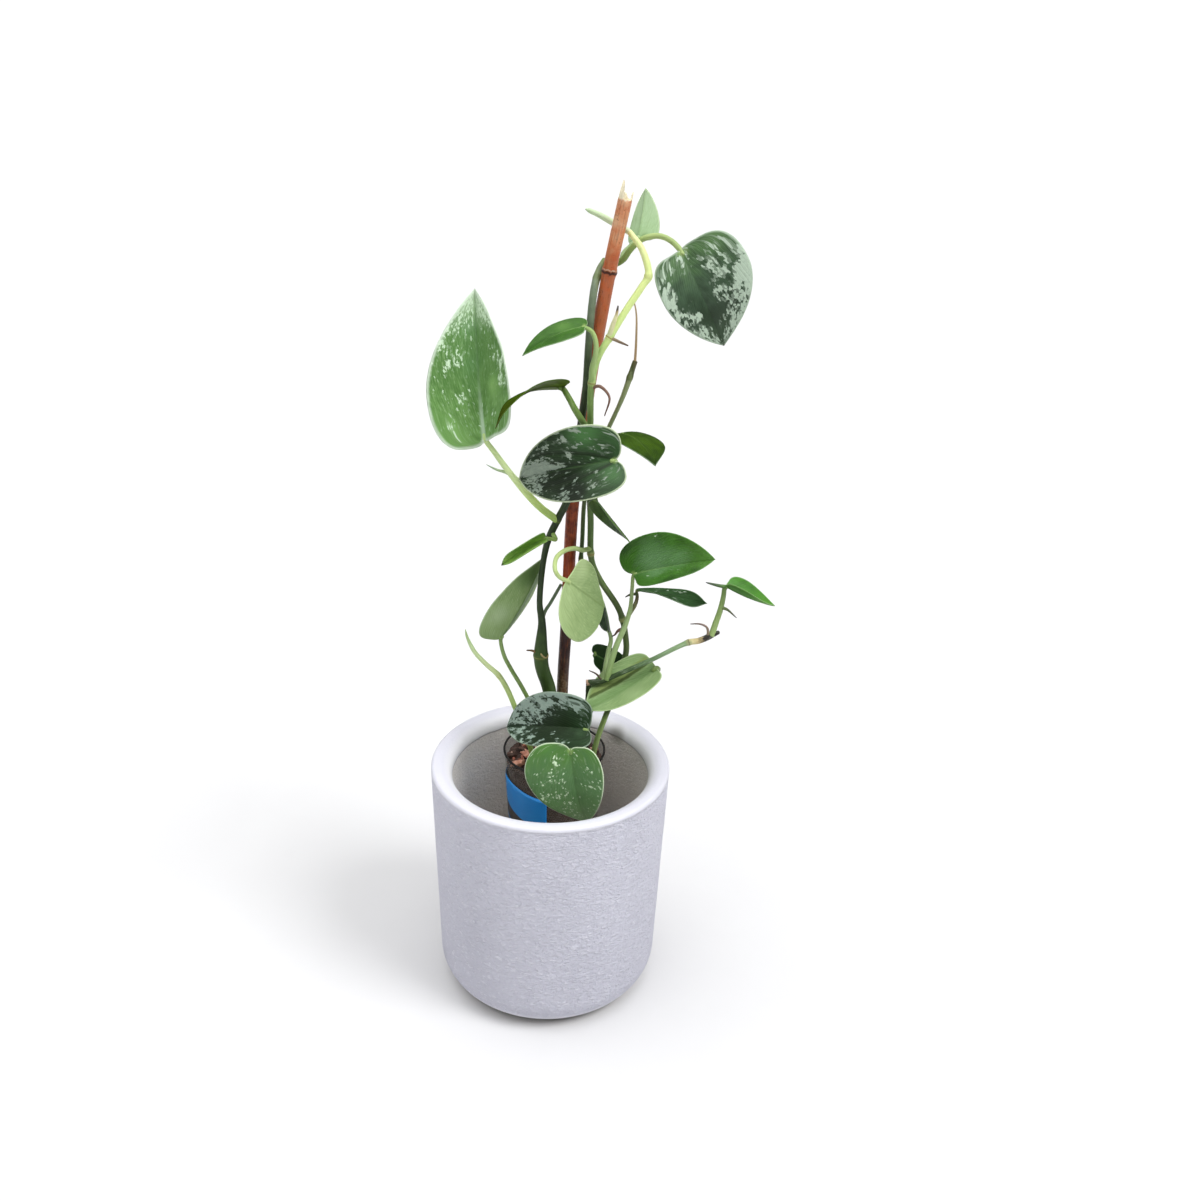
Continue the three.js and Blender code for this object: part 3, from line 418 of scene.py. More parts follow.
class Blade:
    """The curved middle surface of a leaf."""

    def __init__(self, leaf):
        self.leaf = leaf
        self.base = np.array(leaf["base"], float)
        chord = np.array(leaf["tip"], float) - self.base
        self.along = unit(chord)
        face = np.array(leaf["face"], float)
        self.face = unit(face - self.along * (face @ self.along))
        self.side = np.cross(self.face, self.along)
        self.turn = math.radians(leaf["droop"] or ALMOST_FLAT)
        self.length = np.linalg.norm(chord) * self.turn / 2 / math.sin(self.turn / 2)

    def half_width(self, b):
        return self.leaf["width"] / 2 * (1 + np.sign(b) * self.leaf["skew"])

    def at(self, a, b):
        """Points and upper normals at shares a of the midrib and b of the half width."""
        slope = self.turn / 2 - self.turn * a
        forward = self.length / self.turn * (math.sin(self.turn / 2) - np.sin(slope))
        rise = self.length / self.turn * (np.cos(slope) - math.cos(self.turn / 2))
        slope = slope[..., None]
        rib_up = self.face * np.cos(slope) - self.along * np.sin(slope)
        twist = np.radians(self.leaf["twist"] * a)[..., None]
        normal = rib_up * np.cos(twist) - self.side * np.sin(twist)
        left = self.side * np.cos(twist) + rib_up * np.sin(twist)
        reach = np.abs(b) * self.half_width(b)
        fold = math.radians(self.leaf["fold"])
        bend = math.radians(self.leaf["curl"] or ALMOST_FLAT) / (self.leaf["width"] / 2)
        tilt = fold + bend * reach
        across = np.sign(b) * (np.sin(tilt) - math.sin(fold)) / bend
        lift = (math.cos(fold) - np.cos(tilt)) / bend
        points = self.base + self.along * forward[..., None] + self.face * rise[..., None]
        points = points + left * across[..., None] + normal * lift[..., None]
        tilt = (tilt * np.sign(b))[..., None]
        return points, normal * np.cos(tilt) - left * np.sin(tilt)


def distance_to_outline(points, outline):
    """How far each flat point is from a closed outline."""
    edge = np.roll(outline, -1, axis=0) - outline
    size = np.maximum((edge**2).sum(1), 1e-9)
    offset = points[:, None, :] - outline[None, :, :]
    share = np.clip((offset * edge).sum(2) / size, 0, 1)
    return np.linalg.norm(offset - edge * share[..., None], axis=2).min(1)


def patchwork(blade, flat, level, patches):
    """A field over the blade from patches of (along, across, reach in mm, strength)."""
    field = np.full(flat.shape[:2], float(level))
    for along, across, reach, strength in patches:
        middle = [along * blade.length, across * blade.half_width(np.sign(across))]
        field += strength * np.exp(-((flat - middle) ** 2).sum(-1) / reach**2)
    return field


def make_leaf(name, leaf, look):
    """A blade with rows from the tip round to the notch, and columns from edge to edge."""
    blade = Blade(leaf)
    left, right = (half_outline(leaf, lobe) for lobe in leaf["lobes"])
    middle = (left + right) / 2
    ribs = np.maximum(0, middle[:, 0] - VEIN_SWEEP * middle[:, 1])
    shares = np.concatenate([np.linspace(0, 1, HALF_COLUMNS)[:-1] ** 1.15, [0.975, 1.0]])
    shares = np.concatenate([-shares[:0:-1], shares])
    rows, columns = len(ribs), len(shares)

    edges = np.where(shares[None, :, None] > 0, left[:, None, :], right[:, None, :])
    size = np.abs(shares)[None, :]
    a = ribs[:, None] + (edges[..., 0] - ribs[:, None]) * size
    b = edges[..., 1] * shares[None, :]

    # Flat measures in millimetres. A vein leaves the midrib at `start` and arches forward to the
    # edge. `along` is where a row leaves the midrib, and counts on round the base like a fan.
    half = blade.half_width(b)
    flat = np.stack([a * blade.length, b * half], -1)
    outline = np.vstack([left * [blade.length, blade.half_width(1)],
                         (right * [blade.length, -blade.half_width(-1)])[::-1]])
    margin = distance_to_outline(flat.reshape(-1, 2), outline).reshape(rows, columns)
    lean = math.atan2(VEIN_SWEEP, 1) - np.arctan2(edges[..., 0], np.maximum(edges[..., 1], 1e-6))
    along = np.where(ribs[:, None] > 0, ribs[:, None] * blade.length, -FAN * np.maximum(0, lean))
    across = shares[None, :] * half
    slant = blade.length / (ARCHING * half)
    stretch = np.sqrt(1 + slant**2)
    start = along - slant * np.abs(across)

    points, normals = blade.at(a, b)
    raised = WAVE * np.sin(along / 8 + np.sign(shares) * 1.3 + look["seed"]) * size**2
    for crease in look["creases"]:
        valley = np.exp(-(((start - crease) / 5.0) ** 2)) * np.clip(margin / 4, 0, 1)
        raised = raised - CREASE_DEPTH * valley
    points = points + normals * raised[..., None]
    edge = np.clip(margin / BLADE_THICK, 0, 1)
    thick = BLADE_THICK / 2 * np.sqrt(1 - (1 - edge) ** 2)
    slim = 1 - 0.7 * a
    rib_line = np.exp(-((flat[..., 1] / (1.1 * slim)) ** 2)) * np.clip(margin / 2, 0, 1)
    top = points + normals * (thick - 0.3 * rib_line)[..., None]
    bottom = points - normals * (thick + 0.7 * slim * rib_line)[..., None]

    silver = patchwork(blade, flat, look["cover"], look["patches"])
    # The field of painted light and painted shade: above 0 a painted highlight, below 0 painted shade.
    light = patchwork(blade, flat, 0, look["lights"])
    layers = {
        "arcs": np.stack([(slant * along + np.abs(across)) / stretch, start / stretch], -1),
        "place": np.stack([a, margin], -1),
        "fields": np.stack([silver, light], -1),
        "rib": np.stack([flat[..., 1], start], -1),
    }
    layers = {key: np.vstack([v.reshape(-1, 2)] * 2) for key, v in layers.items()}
    upper = grid_faces(rows, columns)
    lower = grid_faces(rows, columns, rows * columns)
    materials = [leaf_upper(name, look), leaf_lower(name, look)]
    both = np.vstack([top.reshape(-1, 3), bottom.reshape(-1, 3)])
    slots = [0] * len(upper) + [1] * len(lower)
    seat(make_piece(name, both, upper + lower, materials, layers, slots), look["slot"], name)


# ---------------------------------------------------------------- leaves: looks


VEIN_GAP = 2.6  # mm from one fine vein of the upper side to the next
DRIED_END = 0.99  # share of the midrib from which a dried tip has its full colour
HALF_SHIFT = 40  # how far the seeds of a blade's two halves are apart
SHAKE_SIZE = 1 / 0.9  # mm, the size of the noise that makes the cells of silver ragged
SHAKE = 1.6  # mm, how far it moves them


class LeafShader(Shader):
    """The shader of one side of a blade, with the places that make_leaf stores in UV layers."""

    def __init__(self, name, seed):
        super().__init__(name)
        self.along, self.across = self.uv("arcs")
        self.a, self.margin = self.uv("place")
        # fields holds the silver cover and the field of painted light and painted shade.
        self.cover, self.light = self.uv("fields")
        self.lateral, self.start = self.uv("rib")
        self.seed = self.step(self.lateral, -0.01, 0.01, seed, seed + HALF_SHIFT)
        self.at = self.drawn_out(1.0)
        self.streaks = self.noise(self.drawn_out(0.22), 1.2, 3, 0.6)

    def drawn_out(self, share):
        """A place for patterns that are 1 / share times as long along the veins."""
        return self.join(self.along * share, self.across, self.seed)

    def to_vein(self, wobble, gap):
        """Where the wavy veins start, and how far it is to the nearest one."""
        start = self.start + (self.noise(self.at, 12, 1) - 0.5) * wobble
        return start, self.math("PINGPONG", start, gap)

    def dried(self, colour, look):
        """The colour, with a dried tip where the leaf has one."""
        if "tip" not in look:
            return colour
        return self.mix(self.step(self.a, look["tip_from"], DRIED_END), colour, look["tip"])


def leaf_green(s, look, mottle):
    """Tones from base to tip, mottled and streaked, with painted highlights and painted shade where the
    painted lights say.
    """
    mottling = look["mottle"]
    green = s.ramp(s.a + (mottle - 0.5) * 0.5, look["tones"])
    green = s.mix(s.step(mottle, 0.35, 0.75, 0, mottling), green, look["deep"])
    green = s.mix(s.step(s.streaks, 0.5, 0.75, 0, mottling), green, look["deep"])
    green = s.mix(s.step(s.streaks, 0.25, 0.5, mottling * 0.8, 0), green, look["vein"])
    # Painted highlights in the sheen colour and painted shade in the shade colour, where the painted
    # lights say.
    painted_light_patches = s.light + (s.streaks - 0.5) * 0.6
    green = s.mix(s.step(painted_light_patches, 0.1, 1.0), green, look["sheen"])
    green = s.mix(s.step(painted_light_patches, -1.0, -0.1, 1, 0), green, look.get("shade", look["deep"]))
    # The stalk's own yellow green spreads a little way into the blade.
    from_foot = s.math("SQRT", s.lateral * s.lateral + s.math("POWER", s.a * 80, 2.0))
    return s.mix(s.step(from_foot, 0.5, look["foot"], 0.7, 0), green, "#9dbb68")


def leaf_veins(s, look, green, start, to_vein):
    """The green with creases painted darker as painted shade, fine veins and the midrib."""
    # Each crease's valley is painted darker with the deep colour: painted shade.
    for crease in look["creases"]:
        line = s.step(abs(start - crease), 0.5, 8.0, 0.8, 0) * s.step(s.margin, 1, 6)
        green = s.mix(line, green, look["deep"])
    green = s.mix(s.step(to_vein, 0.0, 1.0, 1, 0) * look["veining"], green, look["vein"])
    rib = s.step(abs(s.lateral) / s.step(s.a, 0, 1, look["rib"], 0.25), 0.3, 1.3, 1, 0)
    rib_tone = s.step(s.a, 0.0, look["rib_end"], look["rib_tone"], 0.05)
    return s.mix(rib * rib_tone, green, look["rib_colour"])


def leaf_silver(s, look, drawn_out):
    """Where there is silver: small ragged cells, lit where a coarser noise is high."""
    shaking = s.noise(drawn_out, SHAKE_SIZE, output="Color")
    shaking = s.vector_math("MULTIPLY", shaking, (SHAKE, SHAKE, 0))
    shaken = s.vector_math("ADD", drawn_out, shaking)
    cell = s.cells(shaken, look["grain"], "Position")
    luck = s.part(s.cells(shaken, look["grain"], "Color"), 0)
    coarse = s.noise(cell, look["blotch"], 1.5, 0.6)
    beside_rib = s.step(abs(s.lateral), 0.6, 2.2, -0.2, 0)
    level = coarse + (luck - 0.5) * 0.16 + s.cover + beside_rib
    fine = s.noise(s.join(s.along * 0.6, s.across, s.seed + 3), 0.8, 2)
    silver = s.step(level, 0.63, 0.66) * s.step(fine, 0.3, 0.5, 0.8, 1)
    return s.math("MAXIMUM", silver, s.step(level, 0.55, 0.64, 0, look["halo"]))


def leaf_upper(name, look):
    """Green with a silver-grey variegation in ragged patches that follow the veins."""
    s = LeafShader(f"{name}_upper", look["seed"] * 7.3)
    drawn_out = s.drawn_out(look["stretch"])
    mottle = s.noise(s.at, 9, 3)
    start, to_vein = s.to_vein(3.0, VEIN_GAP)
    green = leaf_veins(s, look, leaf_green(s, look, mottle), start, to_vein)
    silver = leaf_silver(s, look, drawn_out)
    silver_colour = s.mix(s.noise(s.at, 3, 2), look["silver"], look["silver_deep"])
    # The silver is dimmed where there is painted shade.
    silver_colour = s.mix(s.step(s.light, -1.0, 0.0, 0.5, 0), silver_colour, look["silver_deep"])
    colour = s.mix(silver, green, silver_colour)

    rim = look["rim"]
    to_edge = s.margin + s.noise(s.at, 4, 2) * (rim * 0.6)
    edge = s.step(to_edge, rim * 0.5, rim * 1.5, look["rim_tone"], 0)
    colour = s.dried(s.mix(edge, colour, look["rim_colour"]), look)

    cells = s.cells(s.at, 0.7)
    height = s.step(to_vein, 0, 1.4) * 0.6 + cells * 0.25 + s.noise(drawn_out, 1.6, 3)
    shine = look["roughness"]
    roughness = s.step(mottle + silver * 0.5, 0.3, 1.1, shine - 0.06, shine + 0.1)
    return s.finish(colour, roughness, s.bump(height, 0.2, 0.7), specular=look["gloss"])


def leaf_lower(name, look):
    """The paler underside, with fine raised veins."""
    s = LeafShader(f"{name}_lower", look["seed"] * 3.1)
    dark = look["under_dark"]
    pale = look["under_pale"]
    mottle = s.noise(s.at, 11, 3)
    colour = s.ramp(s.a + (mottle - 0.5) * 0.7, look["under"])
    colour = s.mix(s.step(s.streaks, 0.5, 0.8, 0, 0.4), colour, dark)
    colour = s.mix(s.step(s.streaks, 0.2, 0.5, 0.4, 0), colour, pale)
    # Painted light in the pale colour and painted shade in the dark colour, where the painted lights say.
    painted_light_patches = s.light + (s.streaks - 0.5) * 0.4
    colour = s.mix(s.step(painted_light_patches, 0.1, 1.0), colour, pale)
    colour = s.mix(s.step(painted_light_patches, -1.0, -0.1, 1, 0), colour, dark)
    # Darker stripes along the underside: painted shade of a channel beside the midrib.
    for middle, reach, code, strength in look["bands"]:
        off = abs(s.lateral + mottle * 2.0 - middle)
        fade = s.step(off, reach * 0.3, reach, strength, 0) * s.step(s.margin, 0.5, 3)
        colour = s.mix(fade, colour, code)
    _, to_vein = s.to_vein(4.0, look["vein_gap"])
    veins = s.step(to_vein, 0.0, 1.1, 1, 0) * s.step(s.noise(s.at, 7, 1), 0.35, 0.6)
    colour = s.mix(veins * look["under_veining"], colour, dark)
    colour = s.mix(s.step(abs(s.lateral), 0.4, 1.4, look["under_rib"], 0), colour, dark)
    colour = s.mix(s.step(s.margin, 0.3, 1.3, 0.6, 0), colour, pale)
    height = s.step(to_vein, 0, 1.2, 1, 0) + s.noise(s.at, 1.2, 3) * 0.5
    roughness = s.step(mottle, 0, 1, 0.5, 0.62)
    return s.finish(s.dried(colour, look), roughness, s.bump(height, 0.15, 0.6), specular=0.12)


# tones: the green from base to tip. deep: its dark mottle, as strong as mottle says, and the painted
# shade of creases. vein: fine veins, as strong as veining says, and pale streaks. sheen and shade: the
# colours of the painted highlights and the painted shade, where shade defaults to deep. foot: mm of the
# stalk's colour at the base. cover: how much silver there is all over, in cells of grain mm and
# blotches of blotch mm that are 1 / stretch times as long along the veins. halo: thin silver round
# them. patches: more or less silver, and painted lights: places painted lighter or darker, as painted
# light and painted shade, each as (place along the midrib, place across it, reach in mm, strength).
# creases: where along the midrib a deep vein starts, in mm. rib, rib_end and rib_tone: the midrib's
# width, end and strength. rim: mm of pale edge. tip: a dried tip. under: the underside from base to
# tip. bands: darker stripes of painted shade along the underside, as (mm from the midrib, half width,
# colour, strength).
ANY_LEAF = dict(
    cover=0, patches=(), lights=(), creases=(), mottle=0.4, foot=3.5, grain=1.2, blotch=4.0,
    stretch=0.6, halo=0.3, veining=0.15, rib=1.0, rib_end=1.0, rib_tone=0.5, rim_tone=0.8,
    tip_from=0.96, roughness=0.42, gloss=0.25, bands=(), vein_gap=3.2, under_veining=0.25,
    under_rib=0.5,
)
DARK = dict(
    ANY_LEAF, slot="leaf_dark", tones="#2c4527 #2f4a2b #35512f", deep="#16260f", vein="#476440",
    sheen="#5b7b58", rib_colour="#4a6a3c", silver="#a9bcaa", silver_deep="#84988a", rim=0.7,
    rim_colour="#8ba383", under="#4c6a2c #466228 #3f5a24", under_dark="#2c4216", under_pale="#6f8f48",
)
BRIGHT = dict(
    ANY_LEAF, slot="leaf_bright", tones="#4c7a38 #47742f #558336", deep="#2b4d1c", vein="#64904b",
    sheen="#7ba868", rib_colour="#7ba25a", silver="#c8dbc0", silver_deep="#a9c2a0", rim=0.6,
    rim_colour="#9cbb8a", under="#3f7424 #457a28 #55883a", under_dark="#2f5a1a", under_pale="#7fa860",
)
PALE = dict(
    BRIGHT, slot="leaf_pale", silver="#b8ccb0", silver_deep="#98b08f", rim_colour="#a9c09a",
    under="#9bb47f #a5be88 #a5bd89", under_dark="#75905a", under_pale="#c3d6ac",
)
LOOKS = {
    "leaf_01": dict(
        BRIGHT, tones="#76a55a #628c4c@0.4 #608b4c@0.7 #accca0@0.9 #d0e6c8", deep="#44722f",
        vein="#a9cc90", sheen="#a3d67c", shade="#5f9058", mottle=0.55, silver="#dcf2d4",
        silver_deep="#b8d6b0", cover=-0.07, blotch=3.0, stretch=0.7, rim=2.6, rim_colour="#e3f3de",
        rib=2.4, rib_colour="#c3dcc0", rib_end=0.45, rib_tone=0.8, veining=0.1, halo=0.35,
        patches=[(0.54, 0.38, 4, 0.26), (0.5, 0.57, 3.5, 0.26), (0.65, 0.69, 4, 0.24),
                 (0.29, 0.34, 4, 0.26), (0.18, 0.3, 3, 0.18), (0.11, 0.56, 3, 0.22),
                 (0.1, 0.74, 2.5, 0.2), (0.5, -0.75, 8, 0.22), (0.38, -0.75, 6, 0.2), (0.93, 0, 14, 0.24),
                 (0.8, 0.45, 12, 0.16), (0.8, -0.4, 10, 0.18), (0.66, 0.55, 10, 0.1),
                 (0.4, -0.2, 12, -0.06), (0.4, 0.1, 6, -0.1)],
        lights=[(0.08, 0.5, 16, 0.3), (0.35, -0.45, 12, 0.5), (0.5, 0.1, 14, -0.5), (0.3, 0.05, 10, -0.3),
                (0.75, 0.1, 12, -0.5)],
    ),
    "leaf_02": dict(
        DARK, tones="#56784a #485f48@0.3 #374a38@0.6 #455c42", silver="#c6d8c3", silver_deep="#a6bba6",
        cover=0.07, blotch=5.2, grain=1.7, stretch=0.8, sheen="#688c58", halo=0.4, foot=7, rim=1.4,
        rim_colour="#b4c8b0", tip="#3c3a22", tip_from=0.975, rib_tone=0.1,
        patches=[(0.36, 1.0, 7, 0.3), (0.5, 0.95, 9, 0.35), (0.7, 0.8, 10, 0.3), (0.86, 0.37, 8, 0.2),
                 (0.46, 0.38, 7, 0.16), (0.36, -0.08, 13, -0.4), (0.62, 0.0, 8, -0.4),
                 (0.82, 0.03, 5, -0.25), (0.25, -0.88, 8, 0.14), (0.45, -0.85, 9, 0.16),
                 (0.68, -0.55, 9, 0.12), (0.9, -0.1, 6, 0.1), (0.6, -0.26, 3.5, 0.2),
                 (0.74, -0.22, 3.5, 0.2), (0.12, 0.62, 4.5, 0.15), (0.22, 0.34, 4.5, 0.15)],
        lights=[(0.05, 0.6, 13, 0.5), (0.66, 0.0, 12, -0.55), (0.3, -0.1, 10, 0.25),
                (0.6, 0.45, 6, -0.6)],
    ),
    "leaf_03": dict(
        PALE, under="#87a779 #9bb98c@0.15 #abc49d", under_veining=0.1, under_rib=0.25,
        lights=[(0.05, 0.3, 5, -0.7)],
    ),
    "leaf_04": dict(
        BRIGHT, tones="#3e6e1c #366416 #407020", roughness=0.36, gloss=0.2, cover=-0.2, sheen="#6a9a40",
        lights=[(0.5, 0.4, 8, -0.6), (0.3, -0.4, 8, 0.5)],
    ),
    "leaf_05": dict(
        DARK, tones="#45601c #38500f #3c3a12", cover=-0.3, deep="#1e3006", vein="#557020",
        sheen="#6a8630", under="#465c10 #34460a #302a0a", under_dark="#1e2a06", under_pale="#4c6818",
        rib_colour="#5f7a30", tip="#3c2a14", tip_from=0.9, rim_colour="#55702a", gloss=0.0,
    ),
    "leaf_06": dict(
        DARK, tones="#30522a #223a1c@0.35 #1a2d16", cover=-0.05, silver="#a2b09c", silver_deep="#728276",
        blotch=3.8, sheen="#487440", shade="#0d1a09", creases=[-4.0, 24.0], stretch=0.8, grain=1.3,
        mottle=0.5, rim=1.2, rim_colour="#d3e3bd",
        patches=[(0.86, -0.1, 8, 0.5), (0.7, -0.15, 7, 0.45), (0.58, -0.08, 4, 0.3),
                 (0.62, -0.72, 5, 0.24), (0.44, -0.72, 4, 0.24), (0.3, -0.55, 3, 0.24),
                 (0.42, -0.3, 4, 0.24), (0.26, 0.58, 3, 0.26), (0.12, 0.51, 2.5, 0.24),
                 (0.5, 0.75, 5, 0.2), (0.78, 0.4, 6, 0.26), (0.2, -0.4, 3, 0.2), (0.32, -0.9, 4, 0.2),
                 (0.6, 0.3, 6, -0.1)],
        lights=[(0.25, -0.8, 13, 0.9), (0.05, 0.35, 10, 0.7), (0.45, -0.35, 6, 0.3),
                (0.5, 0.25, 14, -1.0), (0.75, 0.3, 10, -0.7), (0.42, 0.8, 10, -1.0)],
    ),
    "leaf_07": dict(
        DARK, tones="#375410 #3e5a10 #243a0c", cover=-0.3, under="#375410 #3c580e #243a0c",
        under_pale="#567222", rib_colour="#648038", gloss=0.04,
    ),
    "leaf_08": dict(
        BRIGHT, tones="#9ccc58 #8cbc4c #8cb850", cover=-0.2, under="#9ccc58 #88b84a #6c9a3c",
        under_pale="#a0cc68", under_dark="#4a7a28", deep="#4a7a28", mottle=0.6, tip="#2c3c16",
        tip_from=0.88,
    ),
    "leaf_09": dict(
        PALE, under="#a0bc82 #90ac72 #7c985c", under_dark="#56743f", under_pale="#c3d6b0",
        bands=[(12, 11, "#5f8048", 0.9)], lights=[(0.8, -0.2, 16, -0.8), (0.3, -0.6, 16, 0.5)],
    ),
    "leaf_10": dict(
        PALE, under="#a9c186 #8ba46c #78925a", under_dark="#6c8448", under_pale="#c8dca4",
        under_veining=0.4, vein_gap=4.2, lights=[(0.2, -0.7, 14, 0.5), (0.3, 0.6, 16, -0.35)],
    ),
    "leaf_11": dict(
        DARK, cover=-0.1, gloss=0.1,
    ),
    "leaf_12": dict(
        DARK, tones="#162c0e #142a0c #1c3813", cover=-0.3, deep="#0d1c08", vein="#24421a",
        sheen="#24421a", gloss=0.05, rim_colour="#2f5226",
    ),
    "leaf_13": dict(
        BRIGHT, tones="#3c6e1e #427626@0.4 #3f7020@0.7 #54882f", deep="#1d3c0e", roughness=0.3,
        cover=-0.17, sheen="#6f9868", shade="#234712", grain=0.8, rim=0.5, rim_colour="#5f9040",
        patches=[(0.35, 0.88, 2.5, 0.24), (0.58, 0.0, 2, 0.2)],
        lights=[(0.25, 0.35, 16, 0.7), (0.6, 0.15, 12, 0.5), (0.3, -0.35, 9, 0.4), (-0.05, 0.85, 9, -1.2),
                (0.45, -1.0, 11, -0.9), (0.6, 0.95, 8, -0.5), (0.75, -0.5, 7, -0.8)],
    ),
    "leaf_14": dict(
        DARK, tones="#44703a #2c5026 #22421c", silver="#d8e8d0", cover=-0.07, blotch=2.4, grain=0.9,
        gloss=0.1, under="#44703a #2c5026 #1d3a18", under_dark="#142a10", under_pale="#5c8050",
        patches=[(0.5, 0.9, 3, 0.14), (0.3, 0.0, 4, 0.1), (0.4, -0.9, 3, 0.14)],
    ),
    "leaf_15": dict(
        BRIGHT, tones="#478a1c #3f8016 #569426", roughness=0.34, gloss=0.2, cover=-0.3,
        under="#3a701c #3f7820 #6a9c48",
    ),
    "leaf_16": dict(
        PALE, under="#8eaa72 #87a36c #8ca874", under_dark="#55723a", under_pale="#bdd39f", tip="#46583a",
        tip_from=0.88, under_rib=0.1, under_veining=0.35, lights=[(0.4, -0.6, 14, 0.4)],
        bands=[(12.5, 4.5, "#7f8f4c", 0.7), (9.5, 2.2, "#46562a", 0.9), (3.0, 5.5, "#6f9058", 0.75)],
    ),
    "leaf_17": dict(
        DARK, tones="#21391e #152415 #223827", blotch=5.5, silver="#a6b9ab", silver_deep="#8aa094",
        cover=0.1, stretch=1.0, foot=2, grain=1.8, halo=0.4, rim=0.9, rim_colour="#93a691", rib_tone=0.05,
        patches=[(0.63, -0.6, 13, 0.07), (0.42, -0.75, 10, 0.06), (0.86, -0.25, 9, 0.1),
                 (0.25, -0.8, 9, 0.04), (0.76, 0.2, 2.5, 0.16), (0.58, 0.42, 3, 0.18),
                 (0.45, 0.6, 3, 0.14), (0.25, -0.1, 9, -0.4), (0.5, 0.4, 12, -0.19),
                 (0.1, 0.3, 10, -0.3)],
        lights=[(0.25, -0.1, 10, -0.7), (0.5, 0.4, 16, -0.6), (0.1, -0.5, 6, 0.4), (0.1, 0.15, 6, 0.5)],
    ),
    "leaf_18": dict(
        # Its tones grow lighter towards the drooping tip: painted light.
        BRIGHT, tones="#517b3a #5a8050@0.3 #76a068@0.6 #a0c694", deep="#44703a", silver="#e6f7d8",
        silver_deep="#c0dcb2", cover=-0.05, grain=1.3, blotch=2.6, stretch=1.0, veining=0.03, foot=4,
        vein="#6f9c64", sheen="#5f9a40", halo=0.2, mottle=0.45, rim=0.9, rim_colour="#d3e5c4",
        rib_tone=0.1, rib_end=0.3, rim_tone=0.95,
        patches=[(0.14, -0.34, 3, 0.14), (0.28, -0.45, 3.5, 0.2), (0.5, -0.67, 3.5, 0.2),
                 (0.5, -0.44, 3, 0.18), (0.46, -0.24, 3, 0.18), (0.62, -0.2, 4, 0.18),
                 (0.39, 0.49, 3, 0.2), (0.08, -0.78, 3, 0.14), (0.8, -0.1, 8, 0.06), (0.2, 0.5, 3, 0.16),
                 (0.1, -0.3, 3, 0.14), (0.35, 0.1, 9, -0.08)],
        lights=[(-0.05, 0.8, 9, 0.5), (-0.05, -0.5, 9, 0.4)],
    ),
    "leaf_19": dict(
        DARK, tones="#4d6a30 #35521f #2c4a1c", cover=-0.3, gloss=0.1,
    ),
}


# ---------------------------------------------------------------- stems and stalks


def stem_material(name, look):
    """A stem whose tone changes along its length, with fine streaks, joints and scars."""
    s = Shader(f"{name}_skin")
    turn, length = s.uv("skin")
    joint, share = s.uv("marks")
    at = s.around(turn, 3, length + look["seed"] * 31.0)
    mottle = s.noise(at, 7, 3)
    streaks = s.noise(s.around(turn, 3, length * 0.12), 0.9, 3, 0.6)
    colour = s.ramp(share + (mottle - 0.5) * 0.12, look["tones"])
    colour = s.mix(s.step(streaks, 0.5, 0.8, 0, look["streaks"]), colour, look["dark"])
    colour = s.mix(s.step(streaks, 0.2, 0.5, look["streaks"], 0), colour, look["light"])
    colour = s.mix(s.step(s.noise(at, 2.6, 3), 0.6, 0.72, 0, 0.15), colour, look["dark"])
    ring = s.step(joint, 0.15, 0.75, 1, 0)
    colour = s.mix(s.step(joint, 0.8, 3.0, 0.45, 0), colour, look["node"])
    colour = s.mix(ring * 0.85, colour, look["ring"])
    height = streaks * 0.8 + s.noise(at, 0.8, 3) * 0.4 - ring * 0.8
    roughness = s.step(mottle, 0, 1, look["roughness"], look["roughness"] + 0.15)
    return s.finish(colour, roughness, s.bump(height, look["relief"], 0.8), ior=1.4)


def make_stem(name, path, look, *nodes):
    along = lengths_along(path)
    joints = np.array(look["joints"])

    def to_joint(lengths):
        return np.abs(lengths[:, None] - joints[None, :]).min(1)

    shares, radii = zip(*look["radii"])
    radii = np.interp(along / along[-1], shares, radii)
    radii = radii * (1 + look["swell"] * np.exp(-((to_joint(along) / 2.2) ** 2)))
    points, skin, faces = tube_grid(path, radii, look["sides"], look["caps"])
    lengths = skin[:, 1]
    layers = {"skin": skin, "marks": np.stack([to_joint(lengths), lengths / along[-1]], -1)}
    seat(make_piece(name, points, faces, [stem_material(name, look)], layers), look["slot"], *nodes)


PATHS = {}  # name -> the smooth path of each stem, for what grows out of it


def nearest(name, point):
    path = PATHS[name]
    return path[np.linalg.norm(path - np.asarray(point, float), axis=1).argmin()]


NO_JOINTS = [-50.0]  # far below the root end

# radii: the radius at shares of the length. joints: the lengths of the leaf joints, where the stem
# swells and has a ring. route: points from the root end to the growing end. tones: the colour along
# it, under dark and light streaks. caps: how far the two ends bulge.
ANY_STEM = dict(
    joints=NO_JOINTS, swell=0.22, sides=14, caps=(0.4, 0.4), streaks=0.3, roughness=0.42, relief=0.25
)
DARK_STEM = dict(
    ANY_STEM, slot="vine", dark="#22301a", light="#66803f", ring="#8a8f4a", node="#5f6f36", roughness=0.45
)
PALE_STEM = dict(
    ANY_STEM, slot="stalk", dark="#7f9a4a", light="#dbe8b0", ring="#a9a060", node="#c3cc86", streaks=0.25,
    swell=0.12,
)
ROOT = dict(
    ANY_STEM, slot="aerial_root", dark="#4a3524", light="#c0a482", ring="#6b5230", node="#8a6a4c",
    streaks=0.4, roughness=0.8, relief=0.3, sides=10,
)
